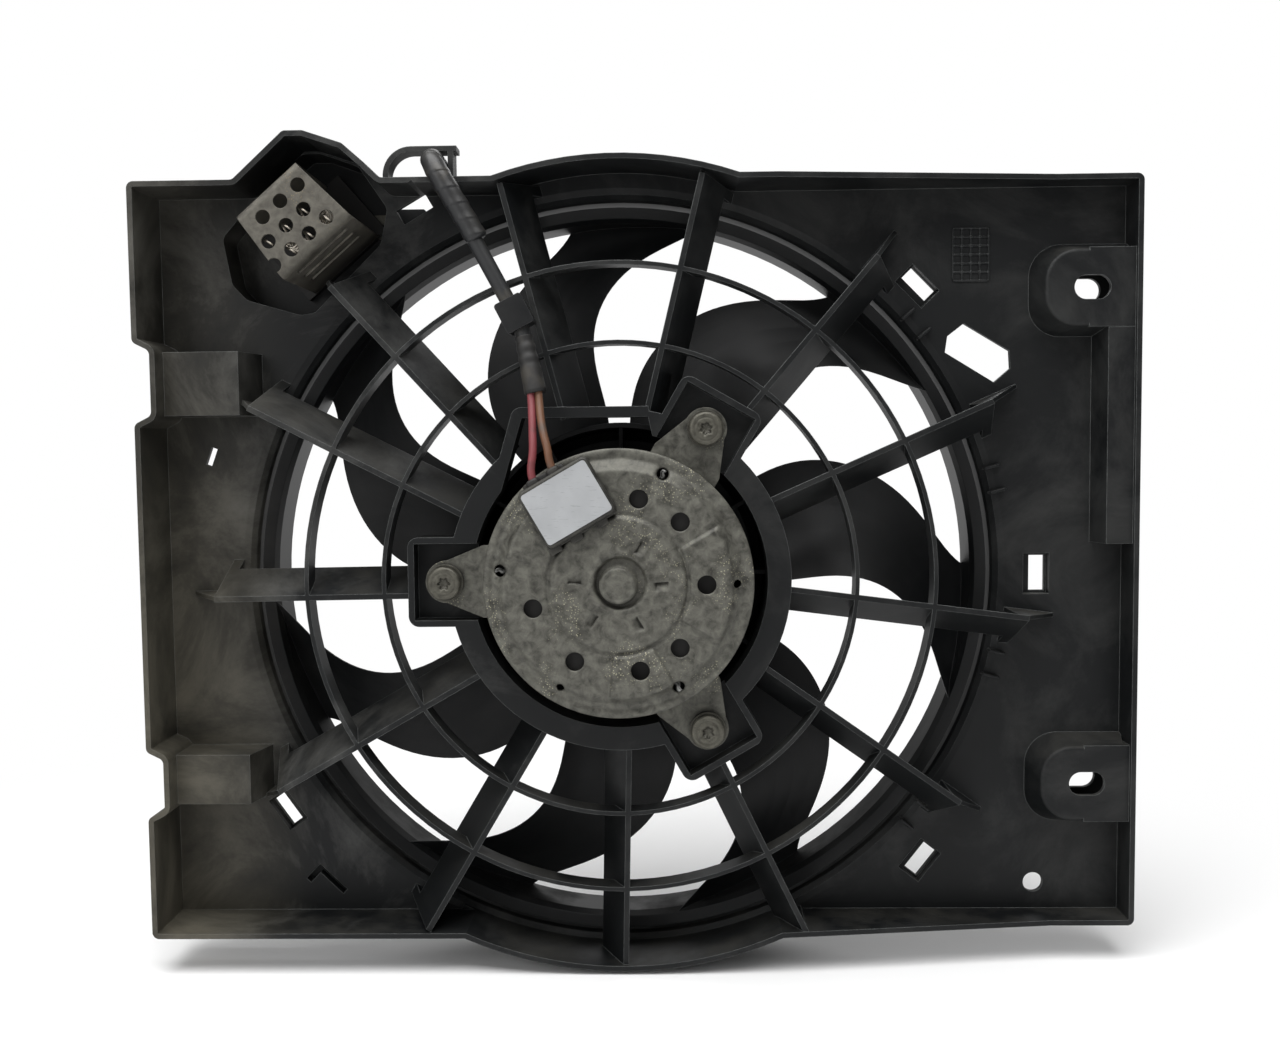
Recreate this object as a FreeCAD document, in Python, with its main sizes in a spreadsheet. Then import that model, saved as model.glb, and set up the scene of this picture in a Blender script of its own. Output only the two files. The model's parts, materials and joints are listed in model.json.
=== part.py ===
import FreeCAD, Part
import math
import os
import re
import Sketcher

# Radiator cooling fan of a car: a ribbed plastic shroud, a ringed seven-blade fan wheel behind it
# and a flat twelve-volt motor in the middle. Lengths are millimetres and angles are degrees.
# X points right and Z up as the fan stands in the car. Y runs along the fan's axis, away from the
# motor side. A height is measured from the panel's front face towards the motor side, so y = -height.

Vector = FreeCAD.Vector
os.makedirs("parts", exist_ok=True)
doc = FreeCAD.newDocument("RadiatorFan")

# Driving dimensions
sizes = {
    # Panel and its edge walls
    "panel_left": "=-(opening_radius + 44.5)", "panel_right": "=opening_radius + 64.5",
    "panel_top": "=opening_radius + 6", "panel_bottom": "=-(opening_radius - 10.5)",
    "panel_skin": 2.5, "wall_height": 32, "wall_low_height": 17, "corner_radius": 5,
    "slope_start": 75, "slope_end": "=panel_right - 40",
    "notch_depth": 8, "notch_upper": 94, "notch_upper_span": 30, "notch_lower": -95.5,
    "notch_lower_span": 24, "pad_width": 38, "pad_height": 22,
    "crown_height": 9.5, "crown_half_width": 72, "crown_root": 6, "keel_radius": "=opening_radius + 5.5",
    "keel_half_width": "=0.44 * keel_radius", "peak_left": "=resistor_x - 29",
    "peak_right": "=resistor_x + 39",
    "peak_middle": "=resistor_x - 0.5", "peak_flat": 9, "peak_height": 21.8,
    # Opening for the fan
    "fan_gap": 3, "opening_radius": "=hoop_lip + fan_gap", "opening_roll": 6, "barrel_skin": 2.5,
    "barrel_depth": 29,
    # Ribs and guard rings between the opening and the motor ring
    "rib_thickness": 2.6, "rib_near": 30, "rib_far": 8, "rib_lean": 11,
    "rib_foot": "=opening_radius + 10.5", "gusset_reach": "=rib_foot + 20", "gusset_thickness": 2,
    "outer_ring_radius": "=opening_radius - 33.5", "inner_ring_radius": "=outer_ring_radius - 36.4",
    "ring_bar": 2, "ring_near": 30,
    "ring_bar_depth": 11,
    # Ring that carries the motor
    "carrier_inner": "=can_radius + 9", "carrier_outer": "=carrier_inner + 11", "carrier_near": 31,
    "carrier_depth": 15,
    "bay_corner_x": -48.5, "bay_corner_z": "=carrier_outer + 1", "bay_right_x": 14,
    "bay_left_x": -64.9, "bay_left_z": 24.2,
    "bolt_circle": "=can_radius + 21", "bolt_count": 3, "pocket_outer": "=bolt_circle + 18",
    "pocket_half_width": 21,
    "pocket_floor": 21, "pocket_skin": 3, "carrier_corner": 5,
    # Hook for the cable on the top wall
    "hook_x": "=resistor_x + 53", "hook_z": "=panel_top + 1.5", "hook_radius": 13.2, "hook_skin": 2.5,
    "hook_reach": 21, "hook_stem": 17,
    # Fixing slots, bosses and raised strip on the right
    "slot_x": "=panel_right - 22.6", "slot_upper_z": 134.7, "slot_lower_z": -101.3, "slot_length": 17,
    "slot_width": 11.3, "boss_left": "=slot_x - 22.4", "boss_half_height": 18.5, "boss_height": 15,
    "boss_draft": 4, "boss_corner": 16, "boss_edge": 2, "strip_left": "=panel_right - 15",
    "strip_top": 116, "strip_bottom": 14,
    "locating_hole_x": "=panel_right - 43.8", "locating_hole_z": "=panel_bottom + 15.6",
    "locating_hole_radius": 4.8,
    # Recesses round the windows and the hooked slot at the lower left
    "recess_depth": 5, "recess_rim": 1.2, "recess_side": 2.4, "hatch_x": "=panel_right - 72.1",
    "hatch_z": "=panel_top - 80.7", "catch_x": "=panel_left + 77", "catch_z": "=panel_bottom + 17",
    "catch_turn": -44, "catch_length": 18.6, "catch_width": 3, "catch_leg": 7,
    # Well of the series resistor
    "well_depth": 20, "well_skin": 2.5, "well_corner": 5,
    # Fan wheel
    "hub_radius": 74, "hub_skin": 2.5, "hub_near": 4, "hub_back": -26, "hub_fillet": 6, "hub_bore": 9,
    "hub_web": 2, "hub_web_near": -6, "hub_web_count": 12,
    "hoop_radius": 171, "hoop_skin": 2.4, "hoop_near": -1.5, "hoop_back": -27,
    "hoop_lip": "=hoop_radius + 6.5", "blade_thickness": 2.2, "blade_near": -4, "blade_back": -25,
    "blade_camber": 3,
    "driver_radius": 22, "driver_thickness": 3, "driver_hub_radius": 8.5, "driver_hub_length": 17,
    "driver_screw_circle": 15, "driver_screw_radius": 2, "driver_screw_head": 3.8,
    # Motor
    "can_radius": 60, "can_skin": 2, "can_near": 44, "can_back": 1, "lug_thickness": 2.5,
    "lug_near": 29.5, "lug_end_radius": 10, "lug_root_half": 17,
    "cap_radius": "=can_radius + 1.7", "cap_skin": 1.6, "cap_rim_depth": 7,
    "cap_shoulder": "=can_radius - 2", "cap_step_radius": "=can_radius - 10", "cap_near": 50,
    "cap_dish_radius": "=can_radius - 28.5", "cap_dish_drop": 1.6,
    "cap_boss_radius": 9.2, "cap_boss_near": 53, "vent_radius": 4.3, "vent_circle": "=can_radius - 20",
    "shaft_radius": 4, "bearing_radius": 7.6, "bearing_length": 6, "bearing_clearance": 0.05,
    "magnet_thickness": 6, "magnet_near": 37, "magnet_back": 9,
    "magnet_count": 4, "magnet_gap": 12, "core_radius": "=can_radius - 9", "core_near": 35, "core_back": 11,
    "core_slots": 12,
    "core_slot_width": 6, "core_slot_depth": 22, "coil_overhang": 3.5, "coil_inner": 15,
    "commutator_radius": 11, "commutator_near": 45, "commutator_bars": 24,
    "brush_plate_near": 46.4, "brush_plate_skin": 1.8, "brush_plate_inner": 15,
    "brush_plate_outer": "=can_radius - 8",
    "brush_width": 5, "brush_height": 4, "brush_length": 12, "brush_holder_skin": 1, "brush_box_end": 34,
    "brush_count": 4, "spring_radius": 1.4, "spring_wire": 0.25,
    "cap_eye_radius": 1.9, "cap_eye_circle": "=can_radius - 6",
    # Brush cover and blank plate on the motor's end
    "cover_x": "=-0.37 * can_radius", "cover_z": "=0.63 * can_radius", "cover_turn": 30, "cover_length": 35.5,
    "cover_width": 29, "cover_near": 57.4, "cover_skin": 1.6, "cover_corner": 3, "red_entry_u": -8.7,
    "brown_entry_u": 1.7, "wire_entry_height": 53.5, "plate_length": 33,
    "plate_width": 25.5, "plate_thickness": 0.5, "plate_corner": 1.5,
    # Motor fastenings
    "screw_radius": 3, "screw_head_radius": 6.6, "screw_head_height": 4, "screw_length": 26,
    "washer_radius": 8.6, "washer_thickness": 1.4, "sleeve_radius": 4.4, "bushing_radius": 8.2,
    "bushing_neck": 6.2, "bushing_flange": 3.5, "nut_radius": 5.5, "nut_height": 5,
    # Series resistor with its pierced guard
    "resistor_x": "=-(opening_radius - 33.5)", "resistor_z": "=opening_radius - 13.2", "resistor_turn": 41,
    "guard_length": 42.6,
    "guard_width": 35.5, "guard_taper": 3.2, "guard_near": 40, "guard_skin": 1, "guard_bend": 4,
    "guard_hole": 3.3, "hole_pitch": 10.8, "hole_start": 12.5, "hole_row_1": 8.7, "hole_row_2": -1.1,
    "hole_row_3": -10.7, "louvre_pitch": 11, "base_length": 52, "base_width": 36, "base_thickness": 4,
    "element_radius": 4, "element_wire": 0.6, "element_turns": 8, "element_length": 32,
    "terminal_width": 4.8, "terminal_thickness": 0.8, "terminal_depth": 18,
    "terminal_z_1": "=resistor_z + 1.7", "terminal_z_2": "=resistor_z + 8.7",
    # Wiring
    "wire_radius": 1.8, "wire_spread": 1.95, "lead_radius": 3.6, "boot_radius": 5.2, "boot_length": 26,
    "outer_sleeve_radius": 5.6, "sleeve_run": 33, "clip_x": -45.9, "clip_z": 123, "clip_turn": 27,
    "clip_width": 13.5, "clip_length": 14.5, "clip_near": 43.5, "clip_corner": 1.5,
    "plug_left": "=resistor_x + 33", "plug_length": 19, "plug_z": "=resistor_z + 5.2", "plug_width": 15,
    "plug_height": 12, "plug_corner": 1.5,
}

sheet = doc.addObject("Spreadsheet::Sheet", "Sizes")
for line, alias in enumerate(sizes, 1):
    sheet.set("A%d" % line, alias)
    sheet.setAlias("B%d" % line, alias)
doc.recompute()
for line, content in enumerate(sizes.values(), 1):
    sheet.set("B%d" % line, str(content))
doc.recompute()

# Directions of the thirteen ribs; one gap is narrow, where the cable runs.
rib_angles = [23.6, 49.4, 76.3, 104.5, 132.3, 152.9, 180.6, 209.8, 239.2, 268.6, 295.6, 324.6, 352.6]

# Middle of each blade's tip; the spacing is uneven to keep the fan quiet.
blade_angles = [42, 87.6, 138.6, 195.6, 242.6, 290.2, 349.8]

# One blade's edges from the hub, at 0, to the hoop, at 1: share of the way, then lead edge and trail edge
# in degrees from the tip's middle.
blade_stations = [(-0.082, 45, 7.5), (0.216, 43.3, 8.6), (0.474, 36.8, 8.2), (0.732, 25, 1.8),
                  (0.887, 15.3, -5.6), (1.093, 9.5, -13.8)]

# Directions of the round vents and of the small eyes in the motor's cap.
vent_angles = [76, 45, 0, -46, -76, -120, -165]
eye_angles = [0, -120, 172.8, 67.6, -60]

# Rectangular windows of the panel: centre, length, width and turn.
windows = [("resistor_x + 48.8", "panel_top - 8.7", "16.2", "7.6", "30"),
           ("panel_left + 24.3", "59.4", "3", "9", "-20")]

# Windows that lie in a recess: the same, then how far the recess is shifted across its length.
deep_windows = [("panel_right - 100.1", "panel_top - 47.2", "15.7", "7", "-45.5", "-2"),
                ("panel_right - 42", "-1.4", "17.3", "7.6", "90", "1.5"),
                ("panel_right - 98.2", "panel_bottom + 25.8", "15.7", "7.6", "52", "1.5"),
                ("panel_left + 55.8", "panel_bottom + 52.5", "15.7", "6", "-55", "1.5")]

# Corners of the six-sided window, measured from its middle.
hatch_corners = [(-7.1, 13.9), (14.8, 0.6), (15.3, -7.8), (7.6, -14.4), (-16, 0.2), (-14.9, 7.9)]


def value(text):
    """Number that an expression of the sheet gives."""
    return float(sheet.evalExpression(text))


def bound(text):
    """The same expression, written for use outside the sheet."""
    return re.sub(r"[a-z_]\w*", lambda m: "Sizes." + m.group(0) if m.group(0) in sizes else m.group(0), text)


def sketch_on(body, name, role, height="0"):
    """Empty sketch on a plane of the body's own origin, moved along the plane's normal."""
    sketch = body.newObject("Sketcher::SketchObject", name)
    plane = [item for item in body.Origin.OriginFeatures if item.Role == role][0]
    sketch.AttachmentSupport = [(plane, "")]
    sketch.MapMode = "FlatFace"
    sketch.setExpression(".AttachmentOffset.Base.z", bound(height))
    return sketch


def pin(sketch, edge, end, across, along):
    """Holds one end of an edge at two dimensions of the sheet."""
    for kind, axis, text in (("DistanceX", -2, across), ("DistanceY", -1, along)):
        if text == "0":
            sketch.addConstraint(Sketcher.Constraint("PointOnObject", edge, end, axis))
        else:
            index = sketch.addConstraint(Sketcher.Constraint(kind, -1, 1, edge, end, value(text)))
            sketch.setExpression("Constraints[%d]" % index, bound(text))


def draw_polygon(sketch, corners):
    """Closed run of straight edges through corners given as pairs of expressions."""
    points = [Vector(value(a), value(b), 0) for a, b in corners]
    first = sketch.GeometryCount
    count = len(points)
    for here, there in zip(points, points[1:] + points[:1]):
        sketch.addGeometry(Part.LineSegment(here, there), False)
    for k in range(count):
        sketch.addConstraint(Sketcher.Constraint("Coincident", first + k, 2, first + (k + 1) % count, 1))
    for k, (a, b) in enumerate(corners):
        pin(sketch, first + k, 1, a, b)


def draw_circle(sketch, across, along, radius):
    """Circle whose centre and radius follow the sheet."""
    centre = Vector(value(across), value(along), 0)
    edge = sketch.addGeometry(Part.Circle(centre, Vector(0, 0, 1), value(radius)), False)
    pin(sketch, edge, 3, across, along)
    index = sketch.addConstraint(Sketcher.Constraint("Radius", edge, value(radius)))
    sketch.setExpression("Constraints[%d]" % index, bound(radius))


def new_body(label):
    return doc.addObject("PartDesign::Body", label)


def extrude(body, name, draw, low, high, cut=False, role="XZ_Plane"):
    """Pad or pocket between two heights over the panel's front face."""
    sketch = sketch_on(body, name + "_sketch", role, high if cut else low)
    draw(sketch)
    feature = body.newObject("PartDesign::Pocket" if cut else "PartDesign::Pad", name)
    feature.Profile = sketch
    feature.setExpression("Length", bound("(%s) - (%s)" % (high, low)))
    return feature


def slab(body, name, corners, low, high, cut=False):
    return extrude(body, name, lambda sketch: draw_polygon(sketch, corners), low, high, cut)


def disc(body, name, across, along, radius, low, high, cut=False):
    return extrude(body, name, lambda sketch: draw_circle(sketch, across, along, radius), low, high, cut)


def rectangle(x0, x1, z0, z1):
    return [(x0, z0), (x1, z0), (x1, z1), (x0, z1)]


def turn(body, name, corners, cut=False):
    """Revolution about the fan's axis of corners given as radius and height."""
    sketch = sketch_on(body, name + "_sketch", "XY_Plane")
    draw_polygon(sketch, [(radius, "0" if height == "0" else "-(%s)" % height) for radius, height in corners])
    feature = body.newObject("PartDesign::Groove" if cut else "PartDesign::Revolution", name)
    feature.Profile = sketch
    feature.ReferenceAxis = (sketch, ["V_Axis"])
    feature.Angle = 360
    return feature


def tube(inner, outer, low, high):
    return [(inner, low), (outer, low), (outer, high), (inner, high)]


def repeat(body, name, features, count):
    """Even polar pattern of features about the fan's axis."""
    pattern = body.newObject("PartDesign::PolarPattern", name)
    pattern.Originals = features
    axis = [item for item in body.Origin.OriginFeatures if item.Role == "Y_Axis"][0]
    pattern.Axis = (axis, [""])
    pattern.Angle = 360
    pattern.setExpression("Occurrences", bound(count))
    body.Tip = pattern
    return pattern


def place(thing, x="0", height="0", z="0", turned="0"):
    """Sets a piece on the fan: its place, and its turn about the fan's axis seen from the motor side."""
    thing.Placement = FreeCAD.Placement(Vector(), FreeCAD.Rotation(Vector(0, -1, 0), value(turned)))
    thing.setExpression(".Placement.Base.x", bound(x))
    thing.setExpression(".Placement.Base.y", bound("-(%s)" % height))
    thing.setExpression(".Placement.Base.z", bound(z))
    thing.setExpression(".Placement.Rotation.Angle", bound(turned))


def boolean(kind, label, shapes):
    """Boolean of whole pieces: a fuse or common of many, or the first less the second."""
    feature = doc.addObject("Part::" + kind, label)
    if kind == "Cut":
        feature.Base, feature.Tool = shapes
    else:
        feature.Shapes = shapes
    return feature


def ring_of(label, piece, counted, first="0"):
    """Group of the same piece set round the fan's axis."""
    links = []
    count = int(value(counted))
    for number in range(count):
        link = doc.addObject("App::Link", "%s_%d" % (label, number + 1))
        link.LinkedObject = piece
        link.LinkTransform = True
        place(link, turned="%s + 360 * %d / %d" % (first, number, count))
        links.append(link)
    return boolean("MultiFuse", label, links)


def computed(label, shape):
    feature = doc.addObject("Part::Feature", label)
    feature.Shape = shape
    return feature


def around(radius, angle, height):
    """Point at a radius and an angle about the fan's axis."""
    turned = math.radians(angle)
    return Vector(radius * math.cos(turned), -height, radius * math.sin(turned))


def at(x, height, z):
    return Vector(x, -height, z)


def swept(label, points, radius):
    """Round lead of straight runs joined by tangent arcs; prints each bend's radius."""
    edges = []
    start = points[0]
    radii = []
    for here, corner, there in zip(points, points[1:], points[2:]):
        before, after = (corner - here), (there - corner)
        half_turn = before.getAngle(after) / 2
        bend = 0.45 * min(before.Length, after.Length) / math.tan(half_turn)
        reach = bend * math.tan(half_turn)
        before.normalize()
        after.normalize()
        enter, leave = corner - before * reach, corner + after * reach
        inward = (after - before).normalize()
        middle = corner + inward * (bend / math.cos(half_turn) - bend)
        edges.append(Part.LineSegment(start, enter).toShape())
        edges.append(Part.Arc(enter, middle, leave).toShape())
        start = leave
        radii.append(round(bend, 1))
    edges.append(Part.LineSegment(start, points[-1]).toShape())
    path = Part.Wire(edges)
    section = Part.Wire(Part.makeCircle(radius, points[0], points[1] - points[0]))
    shape = path.makePipeShell([section], True, True)
    expected = math.pi * radius ** 2 * path.Length
    print(label, "bends", radii, "section", radius, "volume ratio", round(shape.Volume / expected, 4))
    return computed(label, shape)


# Shroud: envelope, tray, opening and barrel

def round_edges(body, name, radius, wanted):
    """Fillet of the edges that a test picks."""
    base = body.Tip
    edges = ["Edge%d" % number for number, edge in enumerate(base.Shape.Edges, 1) if wanted(edge)]
    fillet = body.newObject("PartDesign::Fillet", name)
    fillet.Base = (base, edges)
    fillet.setExpression("Radius", bound(radius))
    return fillet


def is_upright(edge):
    """True for a straight edge along the fan's axis."""
    ends = [vertex.Point for vertex in edge.Vertexes]
    return len(ends) == 2 and abs(ends[0].x - ends[1].x) < 1e-6 and abs(ends[0].z - ends[1].z) < 1e-6


def draw_crown(sketch):
    """Segment of a circle that bulges over the panel's top edge."""
    half, foot, root = "crown_half_width", "panel_top - crown_root", "crown_height + crown_root"
    ends = [Vector(value(side + half), value(foot), 0) for side in ("-", "")]
    top = Vector(0, value("panel_top + crown_height"), 0)
    sketch.addGeometry(Part.Arc(ends[1], top, ends[0]), False)
    sketch.addGeometry(Part.LineSegment(*ends), False)
    sketch.addConstraint(Sketcher.Constraint("Coincident", 0, 1, 1, 2))
    sketch.addConstraint(Sketcher.Constraint("Coincident", 0, 2, 1, 1))
    pin(sketch, 1, 1, "-" + half, foot)
    pin(sketch, 1, 2, half, foot)
    radius = "(%s ^ 2 + (%s) ^ 2) / (2 * (%s))" % (half, root, root)
    index = sketch.addConstraint(Sketcher.Constraint("Radius", 0, value(radius)))
    sketch.setExpression("Constraints[%d]" % index, bound(radius))


def shroud_block(label):
    """Outline of the whole shroud as a solid block, with rounded upright corners."""
    peak = "panel_top + peak_height"
    outline = [("panel_left", "panel_bottom"), ("panel_right", "panel_bottom"), ("panel_right", "panel_top"),
               ("peak_right", "panel_top"), ("peak_right - 7", "panel_top + 7"),
               ("peak_right - 17", "%s - 6" % peak), ("peak_middle + peak_flat / 2", peak),
               ("peak_middle - peak_flat / 2", peak), ("peak_left", "panel_top"), ("panel_left", "panel_top")]
    for middle, span in (("notch_upper", "notch_upper_span"), ("notch_lower", "notch_lower_span")):
        top = "%s + %s / 2" % (middle, span)
        low = "%s - %s / 2" % (middle, span)
        outline += [("panel_left", "%s + notch_depth / 2" % top), ("panel_left + notch_depth", top),
                    ("panel_left + notch_depth", low), ("panel_left", "%s - notch_depth / 2" % low)]
    body = new_body(label)
    slab(body, label + "_panel", outline, "-panel_skin", "wall_height")
    extrude(body, label + "_crown", draw_crown, "-panel_skin", "wall_height")
    disc(body, label + "_keel", "0", "0", "keel_radius", "-panel_skin", "wall_height")
    doc.recompute()
    outside = value("crown_half_width") + 30
    round_edges(body, label + "_corners", "min(corner_radius; notch_depth / 2.5)",
                lambda edge: is_upright(edge) and abs(edge.Vertexes[0].X) > outside)
    return body


def shroud_tray():
    """Panel with walls all round, open towards the motor side, with the walls lower on the right."""
    body = shroud_block("shroud_tray")
    doc.recompute()
    fronts = [number for number, face in enumerate(body.Shape.Faces, 1)
              if abs(face.CenterOfMass.y + value("wall_height")) < 1e-6]
    corners = body.Tip
    shell = body.newObject("PartDesign::Thickness", "tray_hollow")
    shell.Base = (corners, ["Face%d" % fronts[0]])
    shell.setExpression("Value", bound("panel_skin"))
    shell.Reversed = True
    shell.Join = 1
    above = "-wall_height - 5"
    slope = [("slope_start", "-wall_height"), ("slope_end", "-wall_low_height"),
             ("panel_right + 5", "-wall_low_height"), ("panel_right + 5", above), ("slope_start", above)]
    extrude(body, "tray_slope", lambda sketch: draw_polygon(sketch, slope), "panel_bottom - 30",
            "panel_top + 30", cut=True, role="XY_Plane")
    disc(body, "tray_opening", "0", "0", "opening_radius + opening_roll", "-panel_skin", "0", cut=True)
    slab(body, "tray_well_opening", well_corners("0"), "-panel_skin", "0", cut=True)
    return body


def well_corners(margin):
    """Outline of the resistor's well, pushed outwards by a margin."""
    return [("resistor_x - 45 - %s" % margin, "resistor_z - 2"),
            ("resistor_x - 41 - %s" % margin, "resistor_z - 24.5 - %s" % margin),
            ("resistor_x - 34 - %s" % margin, "resistor_z - 32 - %s" % margin),
            ("resistor_x - 8", "resistor_z - 39.5 - %s" % margin),
            ("resistor_x - 1 + %s" % margin, "resistor_z - 38.5 - %s" % margin),
            ("resistor_x + 32 + %s" % margin, "resistor_z - 6 - %s" % margin),
            ("resistor_x + 35.5 + %s" % margin, "resistor_z + 11"),
            ("resistor_x + 22 + %s" % margin, "resistor_z + 31 + %s" % margin),
            ("resistor_x + 4", "resistor_z + 37.5 + %s" % margin),
            ("resistor_x - 5", "resistor_z + 37.5 + %s" % margin),
            ("resistor_x - 30 - %s" % margin, "resistor_z + 15 + %s" % margin)]


def resistor_well():
    """Pocket behind the panel that holds the series resistor."""
    body = new_body("resistor_well")
    slab(body, "well_block", well_corners("well_skin"), "-well_depth - well_skin", "0")
    slab(body, "well_hollow", well_corners("0"), "-well_depth", "0", cut=True)
    doc.recompute()
    round_edges(body, "well_rounding", "well_corner", is_upright)
    return body


def barrel():
    """Rolled edge of the opening and the short duct behind it."""
    inner, roll = "opening_radius", "opening_roll"
    outer = "opening_radius + barrel_skin"
    profile = [(inner, "-barrel_depth"), (inner, "-" + roll), (inner + " + 0.13 * " + roll, "-0.5 * " + roll),
               (inner + " + 0.5 * " + roll, "-0.13 * " + roll), (inner + " + " + roll, "0"),
               (inner + " + %s + 1" % roll, "0"), (inner + " + %s + 1" % roll, "-panel_skin"),
               (outer + " + 1", "-panel_skin - 1"), (outer, "-%s" % roll), (outer, "-barrel_depth")]
    body = new_body("barrel")
    turn(body, "barrel_roll", profile)
    return body


def keel_root():
    """Foot of the curved bottom wall where it stands on the rolled edge."""
    body = new_body("keel_root")
    sketch = sketch_on(body, "keel_root_sketch", "YZ_Plane")
    outer, inner = "-keel_radius", "-(keel_radius - panel_skin)"
    draw_polygon(sketch, [("opening_roll / 2", outer), ("-1", outer), ("-1", inner),
                          ("opening_roll / 2", inner)])
    foot = body.newObject("PartDesign::Revolution", "keel_root_arc")
    foot.Profile = sketch
    foot.ReferenceAxis = (sketch, ["H_Axis"])
    foot.Midplane = True
    foot.setExpression("Angle", bound("2 * asin(keel_half_width / keel_radius)"))
    return body


def edge_pad(label, middle, span):
    """Raised hollow pad beside a notch of the left edge."""
    low, high = "%s - %s / 2" % (middle, span), "%s + %s / 2" % (middle, span)
    left = "panel_left + notch_depth + panel_skin / 2"
    outer = [(left, "panel_skin"), (left, "-pad_height"),
             ("panel_left + notch_depth + pad_width", "-pad_height"),
             ("panel_left + notch_depth + pad_width + 5", "panel_skin")]
    inner = [("panel_left + notch_depth + panel_skin", "panel_skin + 1"),
             ("panel_left + notch_depth + panel_skin", "-pad_height + panel_skin"),
             ("panel_left + notch_depth + pad_width - panel_skin", "-pad_height + panel_skin"),
             ("panel_left + notch_depth + pad_width + 5 - panel_skin", "panel_skin + 1")]
    body = new_body(label)
    extrude(body, label + "_block", lambda sketch: draw_polygon(sketch, outer), low, high, role="XY_Plane")
    extrude(body, label + "_hollow", lambda sketch: draw_polygon(sketch, inner), low + " + panel_skin",
            high + " - panel_skin", cut=True, role="XY_Plane")
    return body


def pad_hollow(label, middle, span):
    """Space behind a pad, which also opens the panel's back."""
    body = new_body(label)
    slab(body, label + "_space", rectangle("panel_left + notch_depth + panel_skin",
                                           "panel_left + notch_depth + pad_width",
                                           "%s - %s / 2 + panel_skin" % (middle, span),
                                           "%s + %s / 2 - panel_skin" % (middle, span)), "-panel_skin - 1",
                                           "0.5")
    return body


def slot_boss(label, middle):
    """Tapered boss round one fixing slot, hollow behind."""
    low, high = middle + " - boss_half_height", middle + " + boss_half_height"
    body = new_body(label)
    block = slab(body, label + "_block", rectangle("boss_left - boss_draft", "panel_right - 1",
                                                   low + " - boss_draft", high + " + boss_draft"),
                 "-panel_skin", "boss_height")
    block.setExpression("TaperAngle", bound("-atan(boss_draft / boss_height)"))
    doc.recompute()
    round_edges(body, label + "_corners", "boss_corner",
                lambda edge: abs(edge.Vertexes[0].Y - edge.Vertexes[-1].Y) > 5
                and edge.CenterOfMass.x < value("slot_x"))
    doc.recompute()
    front = -value("boss_height")
    round_edges(body, label + "_edge", "boss_edge",
                lambda edge: all(abs(vertex.Y - front) < 1e-6 for vertex in edge.Vertexes)
                and edge.CenterOfMass.x < value("panel_right - 10"))
    slab(body, label + "_join", rectangle("panel_right - 1.5 * boss_corner", "panel_right - 1", low, high),
         "-panel_skin", "boss_height")
    left, right, trim = "boss_left + panel_skin", "panel_right - panel_skin", "0.6 * boss_corner"
    floor, roof = low + " + panel_skin", high + " - panel_skin"
    slab(body, label + "_hollow", [(left, "%s + %s" % (floor, trim)), ("%s + %s" % (left, trim), floor),
                                   (right, floor), (right, roof), ("%s + %s" % (left, trim), roof),
                                   (left, "%s - %s" % (roof, trim))],
         "-panel_skin", "boss_height - panel_skin", cut=True)
    return body


def edge_strip():
    """Raised strip along the right wall between the upper boss and the middle."""
    profile = [("strip_left - 3", "0"), ("strip_left", "-boss_height"), ("panel_right - 1", "-boss_height"),
               ("panel_right - 1", "0")]
    body = new_body("edge_strip")
    extrude(body, "strip_block", lambda sketch: draw_polygon(sketch, profile), "strip_bottom", "strip_top",
            role="XY_Plane")
    return body


def through_slot(label, x, z, length, width, turned="0"):
    """Cutter for a slot with round ends."""
    body = new_body(label)
    half = "(%s - %s) / 2" % (length, width)
    slab(body, label + "_middle", rectangle("-(%s)" % half, half, "-%s / 2" % width, "%s / 2" % width),
         "-panel_skin - 1", "wall_height")
    for side, across in (("left", "-(%s)" % half), ("right", half)):
        disc(body, "%s_%s" % (label, side), across, "0", "%s / 2" % width, "-panel_skin - 1", "wall_height")
    place(body, x, "0", z, turned)
    return body


def through_window(label, x, z, length, width, turned):
    """Cutter for a rectangular window in the panel."""
    body = new_body(label)
    slab(body, label + "_block", rectangle("-%s / 2" % length, "%s / 2" % length, "-%s / 2" % width,
                                           "%s / 2" % width), "-recess_depth - panel_skin - 1",
         "wall_height")
    place(body, x, "0", z, turned)
    return body


def hatch():
    """Cutter for the six-sided window."""
    body = new_body("hatch")
    slab(body, "hatch_block", [("hatch_x + (%g)" % across, "hatch_z + (%g)" % along)
                               for across, along in hatch_corners], "-panel_skin - 1", "wall_height")
    return body


def recess(label, x, z, length, width, turned, shift, cut=False):
    """Cutter for the recess round a window, or the walled box behind the panel that it is sunk into."""
    wall = "0" if cut else "panel_skin"
    along = "(%s / 2 + recess_rim + %s)" % (length, wall)
    across = "(%s / 2 + recess_side + %s)" % (width, wall)
    low, high = ("-recess_depth", "wall_height") if cut else ("-recess_depth - panel_skin", "-panel_skin / 2")
    body = new_body(label)
    slab(body, label + "_block", rectangle("-" + along, along, "%s - %s" % (shift, across),
                                           "%s + %s" % (shift, across)), low, high)
    place(body, x, "0", z, turned)
    return body


def catch_slot(label, cut=False):
    """Cutter for the blind L-shaped slot at the lower left, or the walled box behind it."""
    wall = "0" if cut else "panel_skin"
    low, high = ("-recess_depth", "wall_height") if cut else ("-recess_depth - panel_skin", "-panel_skin / 2")
    left, right = "-(catch_length / 2 + %s)" % wall, "catch_length / 2 + %s" % wall
    inside = "catch_width - catch_length / 2 + %s" % wall
    foot, middle, top = "-(catch_leg + %s)" % wall, "-(%s)" % wall, "catch_width + %s" % wall
    body = new_body(label)
    slab(body, label + "_block", [(left, foot), (inside, foot), (inside, middle), (right, middle),
                                  (right, top),
                                  (left, top)], low, high)
    place(body, "catch_x", "0", "catch_z", "catch_turn")
    return body


# Ribs, guard rings and the ring that carries the motor

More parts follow.
